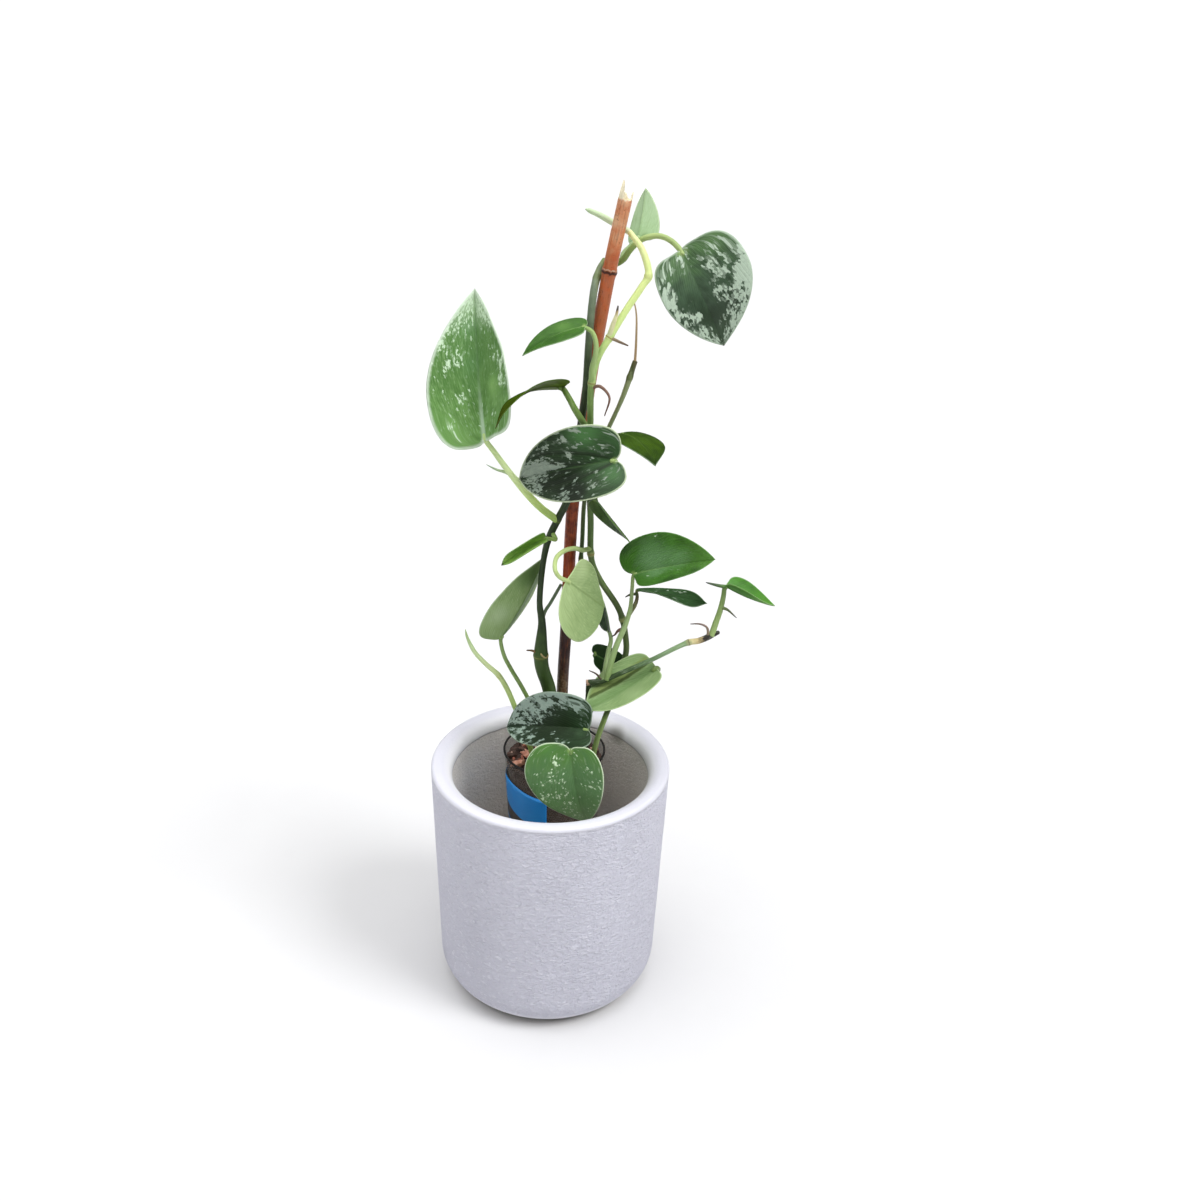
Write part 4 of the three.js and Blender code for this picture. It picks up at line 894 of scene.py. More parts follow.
VINES = {
    "vine_left": dict(
        DARK_STEM, joints=[119, 242, 300, 431], swell=0.1,
        tones="#334520 #3b5622@0.27 #26391b@0.34 #2b3a20@0.6 #343f26@0.78 #5f6e54@0.86 #7d8c74@0.94 "
              "#8a9a62",
        radii=[(0, 3.6), (0.1, 4.2), (0.19, 5.7), (0.27, 5.9), (0.3, 4.6), (0.33, 3.2), (0.37, 2.4),
               (0.46, 2.4), (0.52, 2.9), (1, 2.7)],
        route=[(5, 18, 186), (4, 18, 212), (-2, 16, 269), (-9, 14, 296), (-9, 14, 334), (-11, 14, 351),
               (-6, 12, 402), (2, 9, 424), (9, 5, 441), (15.2, 3, 470), (18.2, 3, 502), (21.2, 2, 530),
               (22.3, 2, 560), (24, 2, 592), (26, 5, 606), (29, 12, 614), (33, 16, 620)],
    ),
    "vine_right": dict(
        DARK_STEM, dark="#5c7a34", light="#c9d98c", streaks=0.18, swell=0.3,
        joints=[60, 154, 222, 316, 369, 405, 455], ring="#8c6b3c", node="#b9c07a",
        tones="#4c6132 #526436@0.35 #55703a@0.5 #5f7d3f@0.66 #86a65c@0.74 #a6c67a@0.76 #dcf49c@0.84 "
              "#eafaa4@0.93 #eaf6b0",
        radii=[(0, 2.6), (0.7, 2.4), (0.8, 2.5), (0.95, 2.5), (1, 2.1)],
        route=[(28, 41, 186), (29, 40, 209), (33, 38, 237), (50, 34, 266), (61, 30, 296), (60, 28, 317),
               (54, 26, 340), (37, 22, 369), (30, 20, 386), (28, 17, 423), (26, 12, 455), (25, 2, 480),
               (25, -3, 504), (25, -5, 535), (29, -6, 555), (37, -6, 570), (48, -4, 589), (59, -2, 606),
               (63, -1, 613), (58, 2, 630), (49, 8, 641)],
    ),
    "side_shoot": dict(
        DARK_STEM, joints=[60, 200, 358],
        tones="#3f5228 #4a6134@0.6 #8fa071@0.82 #9aa677@0.95 #4f5c30@0.975 #5c5a38",
        radii=[(0, 1.8), (0.9, 1.7), (0.96, 2.2), (1, 1.9)],
        route=[(9, 36, 186), (9, 36, 249), (11, 35, 289), (15, 32, 327), (20, 28, 365), (22, 26, 397),
               (23, 25, 434), (28, 22, 466), (35, 19, 485), (49, 14, 521), (57, 11, 549)],
    ),
    "young_shoot": dict(
        PALE_STEM, joints=[109], tones="#94b458 #a0c064@0.4 #c0d888@0.6 #d8e8aa@0.75 #c4daa4@0.9 #9cb878",
        radii=[(0, 2.3), (0.6, 2.2), (0.7, 2.1), (0.9, 1.7), (0.97, 1.0), (1, 0.3)],
        route=[(-12, 12, 186), (-16, 10, 212), (-24, 7, 240), (-29, 6, 255), (-37, 5, 277), (-44, 4, 290),
               (-54, 4, 300), (-63, 4, 311), (-69, 4, 325), (-70, 4, 331)],
    ),
    "cut_branch": dict(
        DARK_STEM, dark="#2f4424", light="#c8d8c0", streaks=0.6, joints=[91], ring="#3a3020",
        node="#b3a878", caps=(0.1, 0.6),
        tones="#d3b096 #b98f78@0.012 #2a3a1c@0.02 #324a22@0.25 #557048 #7d9a70@0.6 #8fac7c@0.76 "
              "#d6cc98@0.8 #c9b480@0.86 #2e2420@0.88 #241c1a",
        radii=[(0, 2.6), (0.2, 2.1), (0.6, 1.9), (0.74, 2.1), (0.82, 2.5), (0.92, 2.6), (1, 1.6)],
        route=[(28, 2, 285), (41, 2, 287), (54, 1, 294), (80, 0, 308), (110, 3, 323), (118, 4, 324),
               (134, 6, 331)],
    ),
    "cut_vine": dict(
        DARK_STEM, joints=[60], tones="#55703a #46602f@0.6 #2c3a20", radii=[(0, 2.4), (1, 2.2)],
        route=[(29, 28, 186), (30, 25, 212), (31, 17, 240), (30, 9, 262), (30, 4, 275), (30, 2.5, 285)],
    ),
}

# The stalk of each leaf. grows_from: the stem it starts at, and none where it starts in the mix.
STALKS = {
    "leaf_01": dict(
        grows_from="vine_left", tones="#aecc6c #c9e388@0.3 #d8ecac@0.6 #c3dc94",
        radii=[(0, 3.0), (0.35, 2.9), (0.6, 2.4), (1, 1.9)],
        route=[(1, 8, 424), (-11, 4, 436), (-23, 1, 450), (-36, 0, 467), (-46, 0, 481)],
    ),
    "leaf_02": dict(
        grows_from="vine_left", tones="#6f8345 #86a058@0.35 #a8bd78@0.6 #a3b974",
        radii=[(0, 2.6), (0.4, 2.1), (1, 2.0)],
        route=[(31, 14, 616), (40, 20, 617), (46, 18, 621), (50, 17, 627), (58, 16, 635), (70, 15, 638),
               (79, 14, 635)],
    ),
    "leaf_03": dict(
        grows_from="leaf_02", tones="#8ba36a #9fb787", radii=[(0, 1.8), (1, 1.3)],
        route=[(45, 19, 621), (46, 24, 624), (51, 27, 629)],
    ),
    "leaf_04": dict(
        grows_from="vine_right", tones="#9dbb70 #a9c47f@0.6 #8aa85c",
        radii=[(0, 2.3), (0.6, 1.8), (1, 1.5)],
        route=[(25, -5, 537), (25, -10, 548), (27, -13, 559), (27, -14, 568), (24, -12, 575)],
    ),
    "leaf_05": dict(
        grows_from="vine_right", tones="#5c7a38 #67863c@0.6 #5a7830",
        radii=[(0, 2.6), (0.6, 2.4), (1, 2.0)],
        route=[(24, -3, 498), (19, -14, 510), (13, -20, 521), (8, -20, 530)],
    ),
    "leaf_06": dict(
        grows_from="vine_right", tones="#7f9a52 #9ab46c", radii=[(0, 2.0), (1, 1.7)],
        route=[(26, 10, 460), (34, 4, 461), (41, -8, 470), (44, -16, 479)],
    ),
    "leaf_07": dict(
        grows_from="vine_right", tones="#6b8743 #7d9a4e", radii=[(0, 1.8), (1, 1.5)],
        route=[(26, 5, 474), (33, 9, 482), (41, 12, 489)],
    ),
    "leaf_08": dict(
        grows_from="vine_left", tones="#8fae5c #a0be6a", radii=[(0, 1.8), (1, 1.2)],
        route=[(-2, 11, 414), (1, 4, 410), (-3, 0, 412)],
    ),
    "leaf_09": dict(
        tones="#6f8a45 #83a05a@0.6 #8fab6c", radii=[(0, 1.9), (0.8, 1.8), (1, 1.6)],
        route=[(-6, 16, 186), (-8, 15, 215), (-14, 14, 248), (-24, 15, 271), (-34, 18, 288),
               (-40, 20, 300)],
    ),
    "leaf_10": dict(
        grows_from="vine_right", tones="#9fb96c #c0d48c #b6cc86", radii=[(0, 2.0), (1, 1.6)],
        route=[(29, 17, 396), (22.6, 10, 399), (15.5, -5, 406.5), (7.4, -20, 410.3), (2.1, -30, 409.5),
               (0.6, -38, 406.7), (1.2, -43, 403.5), (4, -42, 398.5)],
    ),
    "leaf_11": dict(
        grows_from="cut_branch", tones="#8aa36a #98b07a", radii=[(0, 2.4), (1, 1.6)],
        route=[(43, 2, 287), (44, 11, 296), (46, 19, 305), (48, 23, 314)],
    ),
    "leaf_12": dict(
        grows_from="vine_right", tones="#4f6432 #4a6030", radii=[(0, 1.6), (1, 1.3)],
        route=[(39, 37, 247), (43, 45, 258), (42, 53, 271)],
    ),
    "leaf_13": dict(
        grows_from="cut_branch", tones="#84a060 #9ab47c@0.45 #9fb47c@0.8 #8ca566",
        radii=[(0, 2.7), (0.5, 2.2), (0.75, 1.6), (1, 1.5)],
        route=[(45, 2, 289), (48, 3, 305), (52, 5, 319), (58, 8, 334), (62, 12, 348), (63, 16, 364)],
    ),
    "leaf_14": dict(
        grows_from="leaf_13", dark="#5a4634", tones="#7f8c54 #7a6a50@0.6 #6f8048",
        radii=[(0, 2.0), (0.5, 1.6), (1, 1.1)], route=[(61, 11, 344), (66, 17, 349), (68, 23, 354)],
    ),
    "leaf_15": dict(
        grows_from="cut_branch", tones="#9cb573 #8ba663 #6f8c4c", radii=[(0, 2.7), (0.5, 2.3), (1, 1.8)],
        route=[(129, 5, 329), (131, 7, 338), (134, 8, 349), (136, 9, 361)],
    ),
    "leaf_16": dict(
        tones="#8fae62 #a9c67c@0.3 #9dbb6c #4f6434@0.46 #4a5f30@0.75 #7c9652",
        radii=[(0, 2.4), (0.5, 2.4), (1, 1.9)],
        route=[(36, 22, 186), (37, 20, 208), (44, 19, 238), (51, 20, 256), (65, 25, 265), (80, 26, 278),
               (88, 20, 288)],
    ),
    "leaf_17": dict(
        tones="#6f8a48 #86a05c", radii=[(0, 1.9), (1, 1.7)],
        route=[(26, 20, 186), (28, 18, 212), (31, 6, 234), (28, -9, 246), (26, -18, 252)],
    ),
    "leaf_18": dict(
        tones="#5f7a40 #6f8c4e", radii=[(0, 1.9), (1, 1.7)],
        route=[(18, 14, 186), (18, 10, 206), (17, -4, 221), (16, -20, 231), (15, -35, 238),
               (15, -44, 244)],
    ),
    "leaf_19": dict(
        grows_from="vine_right", tones="#66803f #5f7a3c", radii=[(0, 1.5), (1, 1.2)],
        route=[(27, 14, 446), (32, 11, 451), (34, 8, 448)],
    ),
}

# Pieces that carry on from the growing end of a stem, and aerial roots.
SHOOTS = {
    "furled_leaf": dict(
        PALE_STEM, grows_from="vine_right", tones="#dcebc0 #d0e4bc #bcd4a8",
        radii=[(0, 2.1), (0.5, 2.3), (0.92, 1.7), (1, 0.6)],
        route=[(49, 8, 641), (40, 13, 645), (28, 14, 651), (18, 13, 655)],
    ),
    "dry_tip": dict(
        ROOT, grows_from="side_shoot", tones="#b99a72 #c4aa84 #cdb48c",
        radii=[(0, 1.0), (0.5, 0.8), (1, 0.5)],
        route=[(57, 11, 549), (57, 9, 566), (56, 5, 585), (54, 3, 594)],
    ),
    "root_left": dict(
        ROOT, grows_from="vine_left", tones="#c9b585 #9a7a58 #5c4434",
        radii=[(0, 1.7), (0.5, 1.1), (1, 0.5)], route=[(-9, 14, 304), (-16, 11, 309), (-21, 8, 311)],
    ),
    "root_middle": dict(
        ROOT, grows_from="vine_right", tones="#8c6f60 #86695c@0.6 #5c4236",
        radii=[(0, 1.4), (0.5, 1.0), (1, 0.4)],
        route=[(25, -4, 533), (31, -9, 535), (38, -12, 528), (35, -12, 514)],
    ),
    "root_upper": dict(
        ROOT, grows_from="vine_right", tones="#b3a578 #8c7a64@0.4 #5f5044",
        radii=[(0, 1.3), (0.6, 1.0), (1, 0.5)], route=[(37, -6, 570), (44, -11, 568), (50, -13, 566)],
    ),
    "root_right": dict(
        ROOT, grows_from="leaf_15", tones="#8aa463 #5c6b48@0.4 #2f2a26",
        radii=[(0, 1.6), (0.5, 0.9), (1, 0.3)], route=[(133, 7, 352), (139, 5, 352), (147, 2, 346)],
    ),
    "root_branch": dict(
        ROOT, grows_from="cut_branch", tones="#9a8a70 #8c7a70 #4a3f3c",
        radii=[(0, 1.2), (0.5, 0.9), (1, 0.4)],
        route=[(125, 5, 327), (124, 4, 336), (118, 2, 340), (110, 0, 341)],
    ),
}

# Dry sheaths, buds and fine roots, which only this model has.
SHEATHS = {
    "sheath_01": dict(
        PALE_STEM, grows_from="leaf_01", tones="#c3d98a #bdd39a #9fb79a",
        radii=[(0, 2.3), (0.5, 1.5), (0.85, 0.8), (1, 0.2)],
        route=[(-19, 1, 447), (-28, 0, 459), (-37, 0, 465), (-44, 0, 467), (-52, 0, 471)],
    ),
    "sheath_13": dict(
        ROOT, grows_from="leaf_14", slot="stalk", tones="#5c6b48 #43503a #3a3a34",
        radii=[(0, 1.3), (0.5, 1.2), (1, 0.4)], route=[(67.5, 22, 357), (62.5, 20, 357), (58, 19, 355)],
    ),
    "sheath_15": dict(
        PALE_STEM, grows_from="leaf_15", tones="#4f8030 #3d5c30@0.4 #39423c",
        radii=[(0, 1.7), (0.5, 1.2), (0.85, 0.8), (1, 0.3)],
        route=[(138, 10, 369), (130, 8.5, 371.5), (121, 8, 374)],
    ),
    "sheath_top": dict(
        PALE_STEM, grows_from="vine_right", tones="#dfe3b0 #e3dfb0@0.7 #b39c6c@0.84 #4a3c38@0.9 #3a3030",
        radii=[(0, 2.2), (0.6, 1.6), (0.85, 0.9), (1, 0.5)],
        route=[(36, -6, 569), (38.5, -8, 578), (41, -8.5, 586), (42, -9, 593)],
    ),
    "sheath_cut": dict(
        ROOT, grows_from="cut_branch", tones="#4c4a38 #5a4a44 #453a3c",
        radii=[(0, 1.0), (0.5, 0.8), (1, 0.4)], route=[(41, 2, 288), (36, 0.5, 294), (30, -1, 298)],
    ),
    "bud_right": dict(
        ROOT, grows_from="vine_right", tones="#7a5c4c #6b4c44 #3a3834",
        radii=[(0, 1.4), (0.4, 1.5), (0.7, 0.9), (1, 0.5)],
        route=[(57, 26, 322), (53.5, 22, 323), (50.5, 19, 320.5), (48.5, 18, 320)],
    ),
    "thin_stem": dict(
        PALE_STEM, grows_from="vine_left", dark="#4a5c44", light="#8a9c7c", tones="#5f7355 #6d8062",
        radii=[(0, 1.5), (1, 1.3)], route=[(-10, 16, 332), (-7, 21, 339), (-2, 24, 347), (6, 26, 362)],
    ),
    "root_wrap": dict(
        ROOT, grows_from="vine_left", tones="#cdbf8c #b3a06c", radii=[(0, 0.9), (0.5, 0.7), (1, 0.4)],
        route=[(-13, 9.8, 311), (-9, 8.2, 307), (-5, 8.6, 304), (-3.4, 10.4, 306)],
    ),
}


def make_stems():
    for seed, (name, look) in enumerate(VINES.items(), 1):
        PATHS[name] = smooth_path(look["route"])
        make_stem(name, PATHS[name], dict(look, seed=seed), name)


def make_stalks():
    """A stalk starts inside the stem it grows out of and ends under the blade's notch."""
    for seed, (name, look) in enumerate(STALKS.items(), 20):
        blade = Blade(LEAVES[name])
        notch, upper = (v[0] for v in blade.at(np.array([0.0]), np.array([0.0])))
        radius = look["radii"][-1][1]
        under = notch - upper * (BLADE_THICK / 2 + 0.35 * radius)
        ahead = blade.at(np.array([0.04]), np.array([0.0]))[0][0] - upper * (0.3 * radius)
        route = [np.array(p, float) for p in look["route"]] + [under, ahead]
        if "grows_from" in look:
            route[0] = nearest(look["grows_from"], route[0])
        PATHS[name] = smooth_path(route)
        make_stem(f"{name}_stalk", PATHS[name], dict(PALE_STEM, **look, seed=seed), f"{name}_stalk")


def make_shoots():
    for seed, (name, look) in enumerate({**SHOOTS, **SHEATHS}.items(), 50):
        route = [np.array(p, float) for p in look["route"]]
        route[0] = nearest(look["grows_from"], route[0])
        nodes = [name] if name in SHOOTS else []
        make_stem(name, smooth_path(route, 1.0), dict(look, seed=seed), *nodes)


# ---------------------------------------------------------------- reed stake


REED = dict(
    radius=5.0, hollow=3.3, hollow_depth=14.0, joint=476.0, bark_end=527.0, sides=32,
    route=[(6, 26, 140), (8, 25, 214), (9, 24, 276), (11, 22, 332), (14, 17, 436), (19.3, 14, 487),
           (24.2, 11, 534), (35.6, 5, 614), (44.7, 0.7, 664)],
    tones="#3a2a1c #5f4a34@0.24 #3a2420@0.29 #2a1210@0.33 #45180c@0.38 #94380e@0.44 #70280a@0.54"
    " #984420@0.62 #bc7048@0.74 #bc6c48@0.82 #b0603a@0.9 #d89468@0.965 #e0b08a",
)
# Teeth of the splintered end: where round the reed, how wide and how long.
REED_TEETH = [(218, 34, 14.5), (350, 26, 6.0), (95, 30, 4.0), (150, 16, 2.0)]


def reed_material():
    s = Shader("reed")
    turn, length = s.uv("skin")
    _, share = s.uv("marks")
    at = s.around(turn, 5, length)
    fibres = s.noise(s.around(turn, 5, length * 0.05), 0.8, 4, 0.65)
    mottle = s.noise(at, 14, 4, 0.6)

    # Bark, in tones from the root end to the top, with fibres, warm patches and specks.
    colour = s.ramp(share + (mottle - 0.5) * 0.16, REED["tones"])
    colour = s.mix(s.step(fibres, 0.52, 0.75, 0, 0.6), colour, "#5c2812")
    colour = s.mix(s.step(fibres, 0.25, 0.48, 0.5, 0), colour, "#d87c44")
    warm = s.step(s.noise(at, 6, 3, 0.6), 0.42, 0.66, 0, 0.45)
    colour = s.mix(warm * s.step(share, 0.4, 0.5), colour, "#c85a24")
    colour = s.mix(s.step(s.noise(at, 1.6, 3), 0.62, 0.7, 0, 0.45), colour, "#3a1c10")
    age = s.step(length, 110, 160, 1, 0) * s.step(s.noise(at, 2.4, 3), 0.45, 0.6)
    colour = s.mix(age * 0.7, colour, "#a08c6e")

    # The node ring, dark with a pale line above it.
    ring_wave = (s.noise(s.around(turn, 1, 0.0), 0.5, 2) - 0.5) * 3.0
    from_ring = length - REED["joint"] + ring_wave
    ring = s.step(abs(from_ring), 0.4, 1.6, 1, 0)
    colour = s.mix(ring * 0.9, colour, "#2a1610")
    pale = s.step(abs(from_ring - 1.9), 0.2, 0.7, 1, 0)
    colour = s.mix(pale * s.step(fibres, 0.4, 0.6, 0.2, 0.8), colour, "#cdb8a0")

    # Bare wood beyond the torn end of the bark.
    bark_end = length + (fibres - 0.5) * 5.0
    torn = s.step(bark_end, REED["bark_end"] - 1, REED["bark_end"] + 1)
    colour = s.mix(torn, colour, s.mix(fibres, "#e3d3ac", "#f8f4da"))
    roughness = s.step(mottle + torn, 0.2, 1.4, 0.3, 0.75)
    return s.finish(colour, roughness, s.bump(fibres - ring * 1.5, 0.4), specular=0.3)


def make_reed():
    """A hollow reed whose upper end is broken into teeth."""
    path = smooth_path(REED["route"], 3)
    along = lengths_along(path)
    tangents = frames_along(path)[0]
    turns = np.linspace(0, 1, REED["sides"] + 1)
    degrees = turns * 360
    teeth = np.zeros(len(turns))
    for middle, reach, height in REED_TEETH:
        off = np.abs((degrees - middle + 180) % 360 - 180)
        teeth = np.maximum(teeth, height * np.clip(1 - off / reach, 0, 1) ** 0.8)
    right = np.array([1.0, 0.0, 0.0])
    points = []
    skin = []
    marks = []

    def ring(i, radius, lift, bare=0.0):
        side = unit(right - tangents[i] * (right @ tangents[i]))
        for j, degree in enumerate(degrees):
            angle = math.radians(degree)
            out = side * math.cos(angle) + np.cross(tangents[i], side) * math.sin(angle)
            points.append(path[i] + out * radius + tangents[i] * lift[j])
            skin.append((turns[j], along[i] + lift[j] + bare))
            marks.append((0.0, (along[i] + lift[j]) / along[-1]))

    none = np.zeros(len(turns))
    ring(0, 0.01, none)
    for i in range(len(path)):
        swell = 0.9 * math.exp(-(((along[i] - REED["joint"]) / 2.0) ** 2))
        ring(i, REED["radius"] * (0.94 + 0.06 * along[i] / along[-1]) + swell, none)
    last = len(path) - 1
    ring(last, REED["radius"] * 0.97, teeth)
    ring(last, REED["hollow"] + 0.5, teeth * 0.9, bare=2.0)
    # The wall of the hollow counts as above the end of the bark, so that it is bare wood.
    depth = REED["hollow_depth"]
    ring(last, REED["hollow"], none - 2, bare=depth)
    ring(last, REED["hollow"] * 0.9, none - depth, bare=depth)
    ring(last, 0.01, none - depth, bare=depth)
    faces = grid_faces(len(points) // len(turns), len(turns))
    layers = {"skin": skin, "marks": marks}
    seat(make_piece("reed", points, faces, [reed_material()], layers), "reed", "stake")


# ---------------------------------------------------------------- pots


PLANTER = dict(
    height=212, top_radius=100, foot_radius=95, foot_round=30, wall=17.5, outer_lip=3, inner_lip=12,
    glaze_end=200, painted_leaf_shadow=(58, 58, 202), floor=18, inner_floor_radius=75, inner_floor_round=10,
)
POT = dict(x=3, y=26, rim_z=208, bottom_z=123, top_radius=43, bottom_radius=38, wall=1.0, lip=3.0,
           rim_round=1.0, hole=6)
RISER = dict(x=3, y=20, low_z=18.3, high_z=122.7, mouth_radius=43, top_radius=39, wall=1.5, lip=3, hole=8)
MIX_TOP = 199


def arc(x, z, radius, start, end, steps):
    angles = np.radians(np.linspace(start, end, steps + 1))
    return [(x + radius * math.cos(t), z + radius * math.sin(t)) for t in angles]


def dense(profile, longest=6.0):
    """The profile with extra points on its long straight stretches."""
    out = [profile[0]]
    for (x0, z0), (x1, z1) in zip(profile, profile[1:]):
        steps = max(1, math.ceil(math.hypot(x1 - x0, z1 - z0) / longest))
        out += [(x0 + (x1 - x0) * k / steps, z0 + (z1 - z0) * k / steps) for k in range(1, steps + 1)]
    return out


def lathe(profile, segments, x=0.0, y=0.0):
    """Points and faces of a turned shape."""
    profile = np.array(profile, float)
    angles = np.linspace(0, 2 * math.pi, segments + 1)
    points = [(x + r * math.cos(t), y + r * math.sin(t), z) for r, z in profile for t in angles]
    return np.array(points), grid_faces(len(profile), segments + 1)


def pot_radius(z):
    share = (z - POT["bottom_z"]) / (POT["rim_z"] - POT["bottom_z"])
    return POT["bottom_radius"] + (POT["top_radius"] - POT["bottom_radius"]) * share


def planter_material():
    s = Shader("stoneware")
    at = s.place()
    x, y, z = (s.part(at, i) for i in range(3))
    radius = s.math("SQRT", x * x + y * y)
    lip_radius = PLANTER["top_radius"] - PLANTER["wall"]
    wander = (s.noise(at, 14, 3) - 0.5) * 2.5
    below_glaze = z + wander * 0.4 - PLANTER["glaze_end"]
    inner_wall = s.step(radius, lip_radius + 1.5, lip_radius + 2.5, 1, 0)
    inside = inner_wall * s.step(below_glaze, -0.4, 0.4, 1, 0)
    outside = s.step(radius, PLANTER["foot_radius"] - 5, PLANTER["foot_radius"] - 2)
    outside *= s.step(z + wander * 0.5, PLANTER["height"] - 6, PLANTER["height"] - 2.5, 1, 0)

    glaze = s.mix(s.noise(at, 30, 3), "#dcdce6", "#d5d5e0")
    # The inner face of the lip is painted near white: painted light against its shading.
    painted_light_in_lip = s.step(radius, lip_radius, lip_radius + 9, 1, 0) * s.step(z, 190, 200)
    glaze = s.mix(painted_light_in_lip, glaze, "#fbfbff")
    # A broad random tone, plus painted shade darker towards the foot and painted light lighter towards
    # the top.
    broad_tone_and_painted_shade = s.noise(s.join(x, y, z * 0.5), 45, 3) + s.step(z, 20, 200, 0.3, -0.3)
    grit = s.noise(at, 1.1, 3, 0.65)
    wrinkles = s.noise(s.join(x, y, z * 1.8), 4.2, 3, 0.5, 1.0)
    stucco = s.mix(broad_tone_and_painted_shade, "#d9d9e6", "#c9c9d6")
    stucco = s.mix(s.step(grit, 0.5, 0.75, 0, 0.1), stucco, "#b8b7c8")
    # Painted shade in the wrinkles' hollows and painted highlights on their ridges.
    stucco = s.mix(s.step(wrinkles, 0.53, 0.63, 0, 0.12), stucco, "#bbbacc")
    stucco = s.mix(s.step(wrinkles, 0.34, 0.43, 0.3, 0), stucco, "#f6f6fe")
    clay = s.mix(s.noise(at, 22, 4), "#fdf8f4", "#f4eee8")
    clay = s.mix(s.step(s.noise(at, 1.8, 3), 0.52, 0.7, 0, 0.3), clay, "#d8d0c8")

    # Glaze, with stucco outside, bare clay inside and underneath, a painted shadow line under the glaze's
    # edge, a painted leaf shadow and painted shade on the foot.
    colour = s.mix(outside, glaze, stucco)
    colour = s.mix(s.math("MAXIMUM", inside, s.step(z, 5, 7, 1, 0)), colour, clay)
    # A thin painted shadow line under the step where the glaze ends.
    colour = s.mix(inner_wall * s.step(abs(below_glaze), 0.2, 1.0, 0.5, 0), colour, "#a5a0a2")
    # A soft greenish dark patch on the inner wall: the painted shadow of a leaf.
    to_painted_leaf_shadow = s.vector_math("DISTANCE", at, PLANTER["painted_leaf_shadow"], output="Value")
    colour = s.mix(s.step(to_painted_leaf_shadow + wander, 2, 13, 0.6, 0), colour, "#7c796c")
    # The foot darkens towards the floor: painted contact shade.
    colour = s.mix(s.step(z, 3, 8, 0.85, 0), colour, "#6f6a66")

    plaster = wrinkles * -1.2 + grit * 0.15
    height = plaster * (outside * 0.95 + inside * 0.4 + 0.05)
    roughness = outside * 0.43 + inside * 0.4 + 0.42
    return s.finish(colour, roughness, s.bump(height, 2.6))


def make_planter():
    p = PLANTER
    inner = p["top_radius"] - p["wall"]
    foot = p["foot_round"]
    profile = (
        [(0, 0)]
        + arc(p["foot_radius"] - foot, foot, foot, -90, 0, 20)
        + arc(p["top_radius"] - p["outer_lip"], p["height"] - p["outer_lip"], p["outer_lip"], 0, 90, 8)
        + arc(inner + p["inner_lip"], p["height"] - p["inner_lip"], p["inner_lip"], 90, 180, 16)
        + arc(p["inner_floor_radius"] - p["inner_floor_round"], p["floor"] + p["inner_floor_round"],
              p["inner_floor_round"], 0, -90, 8)
        + [(0, p["floor"])]
    )
    planter = make_piece("stoneware_planter", *lathe(dense(profile), 160), [planter_material()])
    seat(planter, "planter_stoneware", "planter")


def plastic_material(name, code, alpha, roughness):
    s = Shader(name)
    at = s.place()
    scuffs = s.noise(at, 4, 3)
    haze = s.mix(s.step(scuffs, 0.4, 0.75, 0, 0.35 - 0.3 * alpha), code, "#b9b4aa")
    height = scuffs + s.math("SINE", s.part(at, 2) * 1.6) * 0.25
    gloss = s.step(scuffs, 0, 1, roughness, roughness + 0.2)
    return s.finish(haze, gloss, s.bump(height, 0.12, 0.5), specular=0.3, alpha=alpha)


def make_nursery_pot():
    p = POT
    inside = p["bottom_z"] + p["wall"]
    top = p["rim_z"] - p["lip"]
    profile = [
        (p["hole"], inside), (p["hole"], p["bottom_z"]), (p["bottom_radius"], p["bottom_z"]),
        (pot_radius(top), top), (pot_radius(top) - p["wall"], top),
        (pot_radius(inside) - p["wall"], inside), (p["hole"], inside),
    ]
    clear = plastic_material("clear_plastic", "#6f6a64", 0.2, 0.12)
    pot = make_piece("clear_pot", *lathe(dense(profile, 4), 96, p["x"], p["y"]), [clear])
    seat(pot, "clear_plastic", "nursery_pot")
    rim = arc(p["top_radius"] + 0.1, p["rim_z"] - p["rim_round"], p["rim_round"], -180, 180, 16)
    dark = plastic_material("plastic_rim", "#0c0a09", 1.0, 0.3)
    seat(make_piece("pot_rim", *lathe(rim, 96, p["x"], p["y"]), [dark]), "clear_plastic")


def make_riser():
    p = RISER
    under = p["high_z"] - p["wall"]
    mouth = p["low_z"] + p["lip"]
    profile = [
        (p["hole"], under), (p["hole"], p["high_z"]), (p["top_radius"], p["high_z"]),
        (p["mouth_radius"], mouth), (p["mouth_radius"] + p["wall"], mouth),
        (p["mouth_radius"] + p["wall"], p["low_z"]), (p["mouth_radius"] - p["wall"], p["low_z"]),
        (p["top_radius"] - p["wall"], under), (p["hole"], under),
    ]
    smoke = plastic_material("smoked_plastic", "#4c4640", 0.8, 0.35)
    riser = make_piece("upturned_pot", *lathe(dense(profile, 5), 80, p["x"], p["y"]), [smoke])
    seat(riser, "clear_plastic", "riser")


# ---------------------------------------------------------------- potting mix and label


MIX_TONES = "#1c120e #30201a #49362e #62493e #8a6c5e"
BARK_TONES = "#2c1210 #6b3228 #b06c58 #e0a890 #f6d8c4"


def mix_material(name, tones):
    """Crumbly mix or bark. Each lump has its own tone, from the number in its UV layer."""
    s = Shader(name)
    at = s.place()
    tone, _ = s.uv("lump")
    flakes = s.noise(at, 2.2, 4, 0.65)
    cells = s.part(s.cells(at, 3.5, "Color"), 0)
    colour = s.ramp(tone * 0.6 + (cells * 0.25 + flakes * 0.3), tones)
    colour = s.mix(s.step(flakes, 0.55, 0.75, 0, 0.5), colour, tones.split()[0])
    height = flakes + s.noise(at, 0.7, 3) * 0.5
    return s.finish(colour, s.step(flakes, 0, 1, 0.75, 0.95), s.bump(height, 0.8, 0.9))


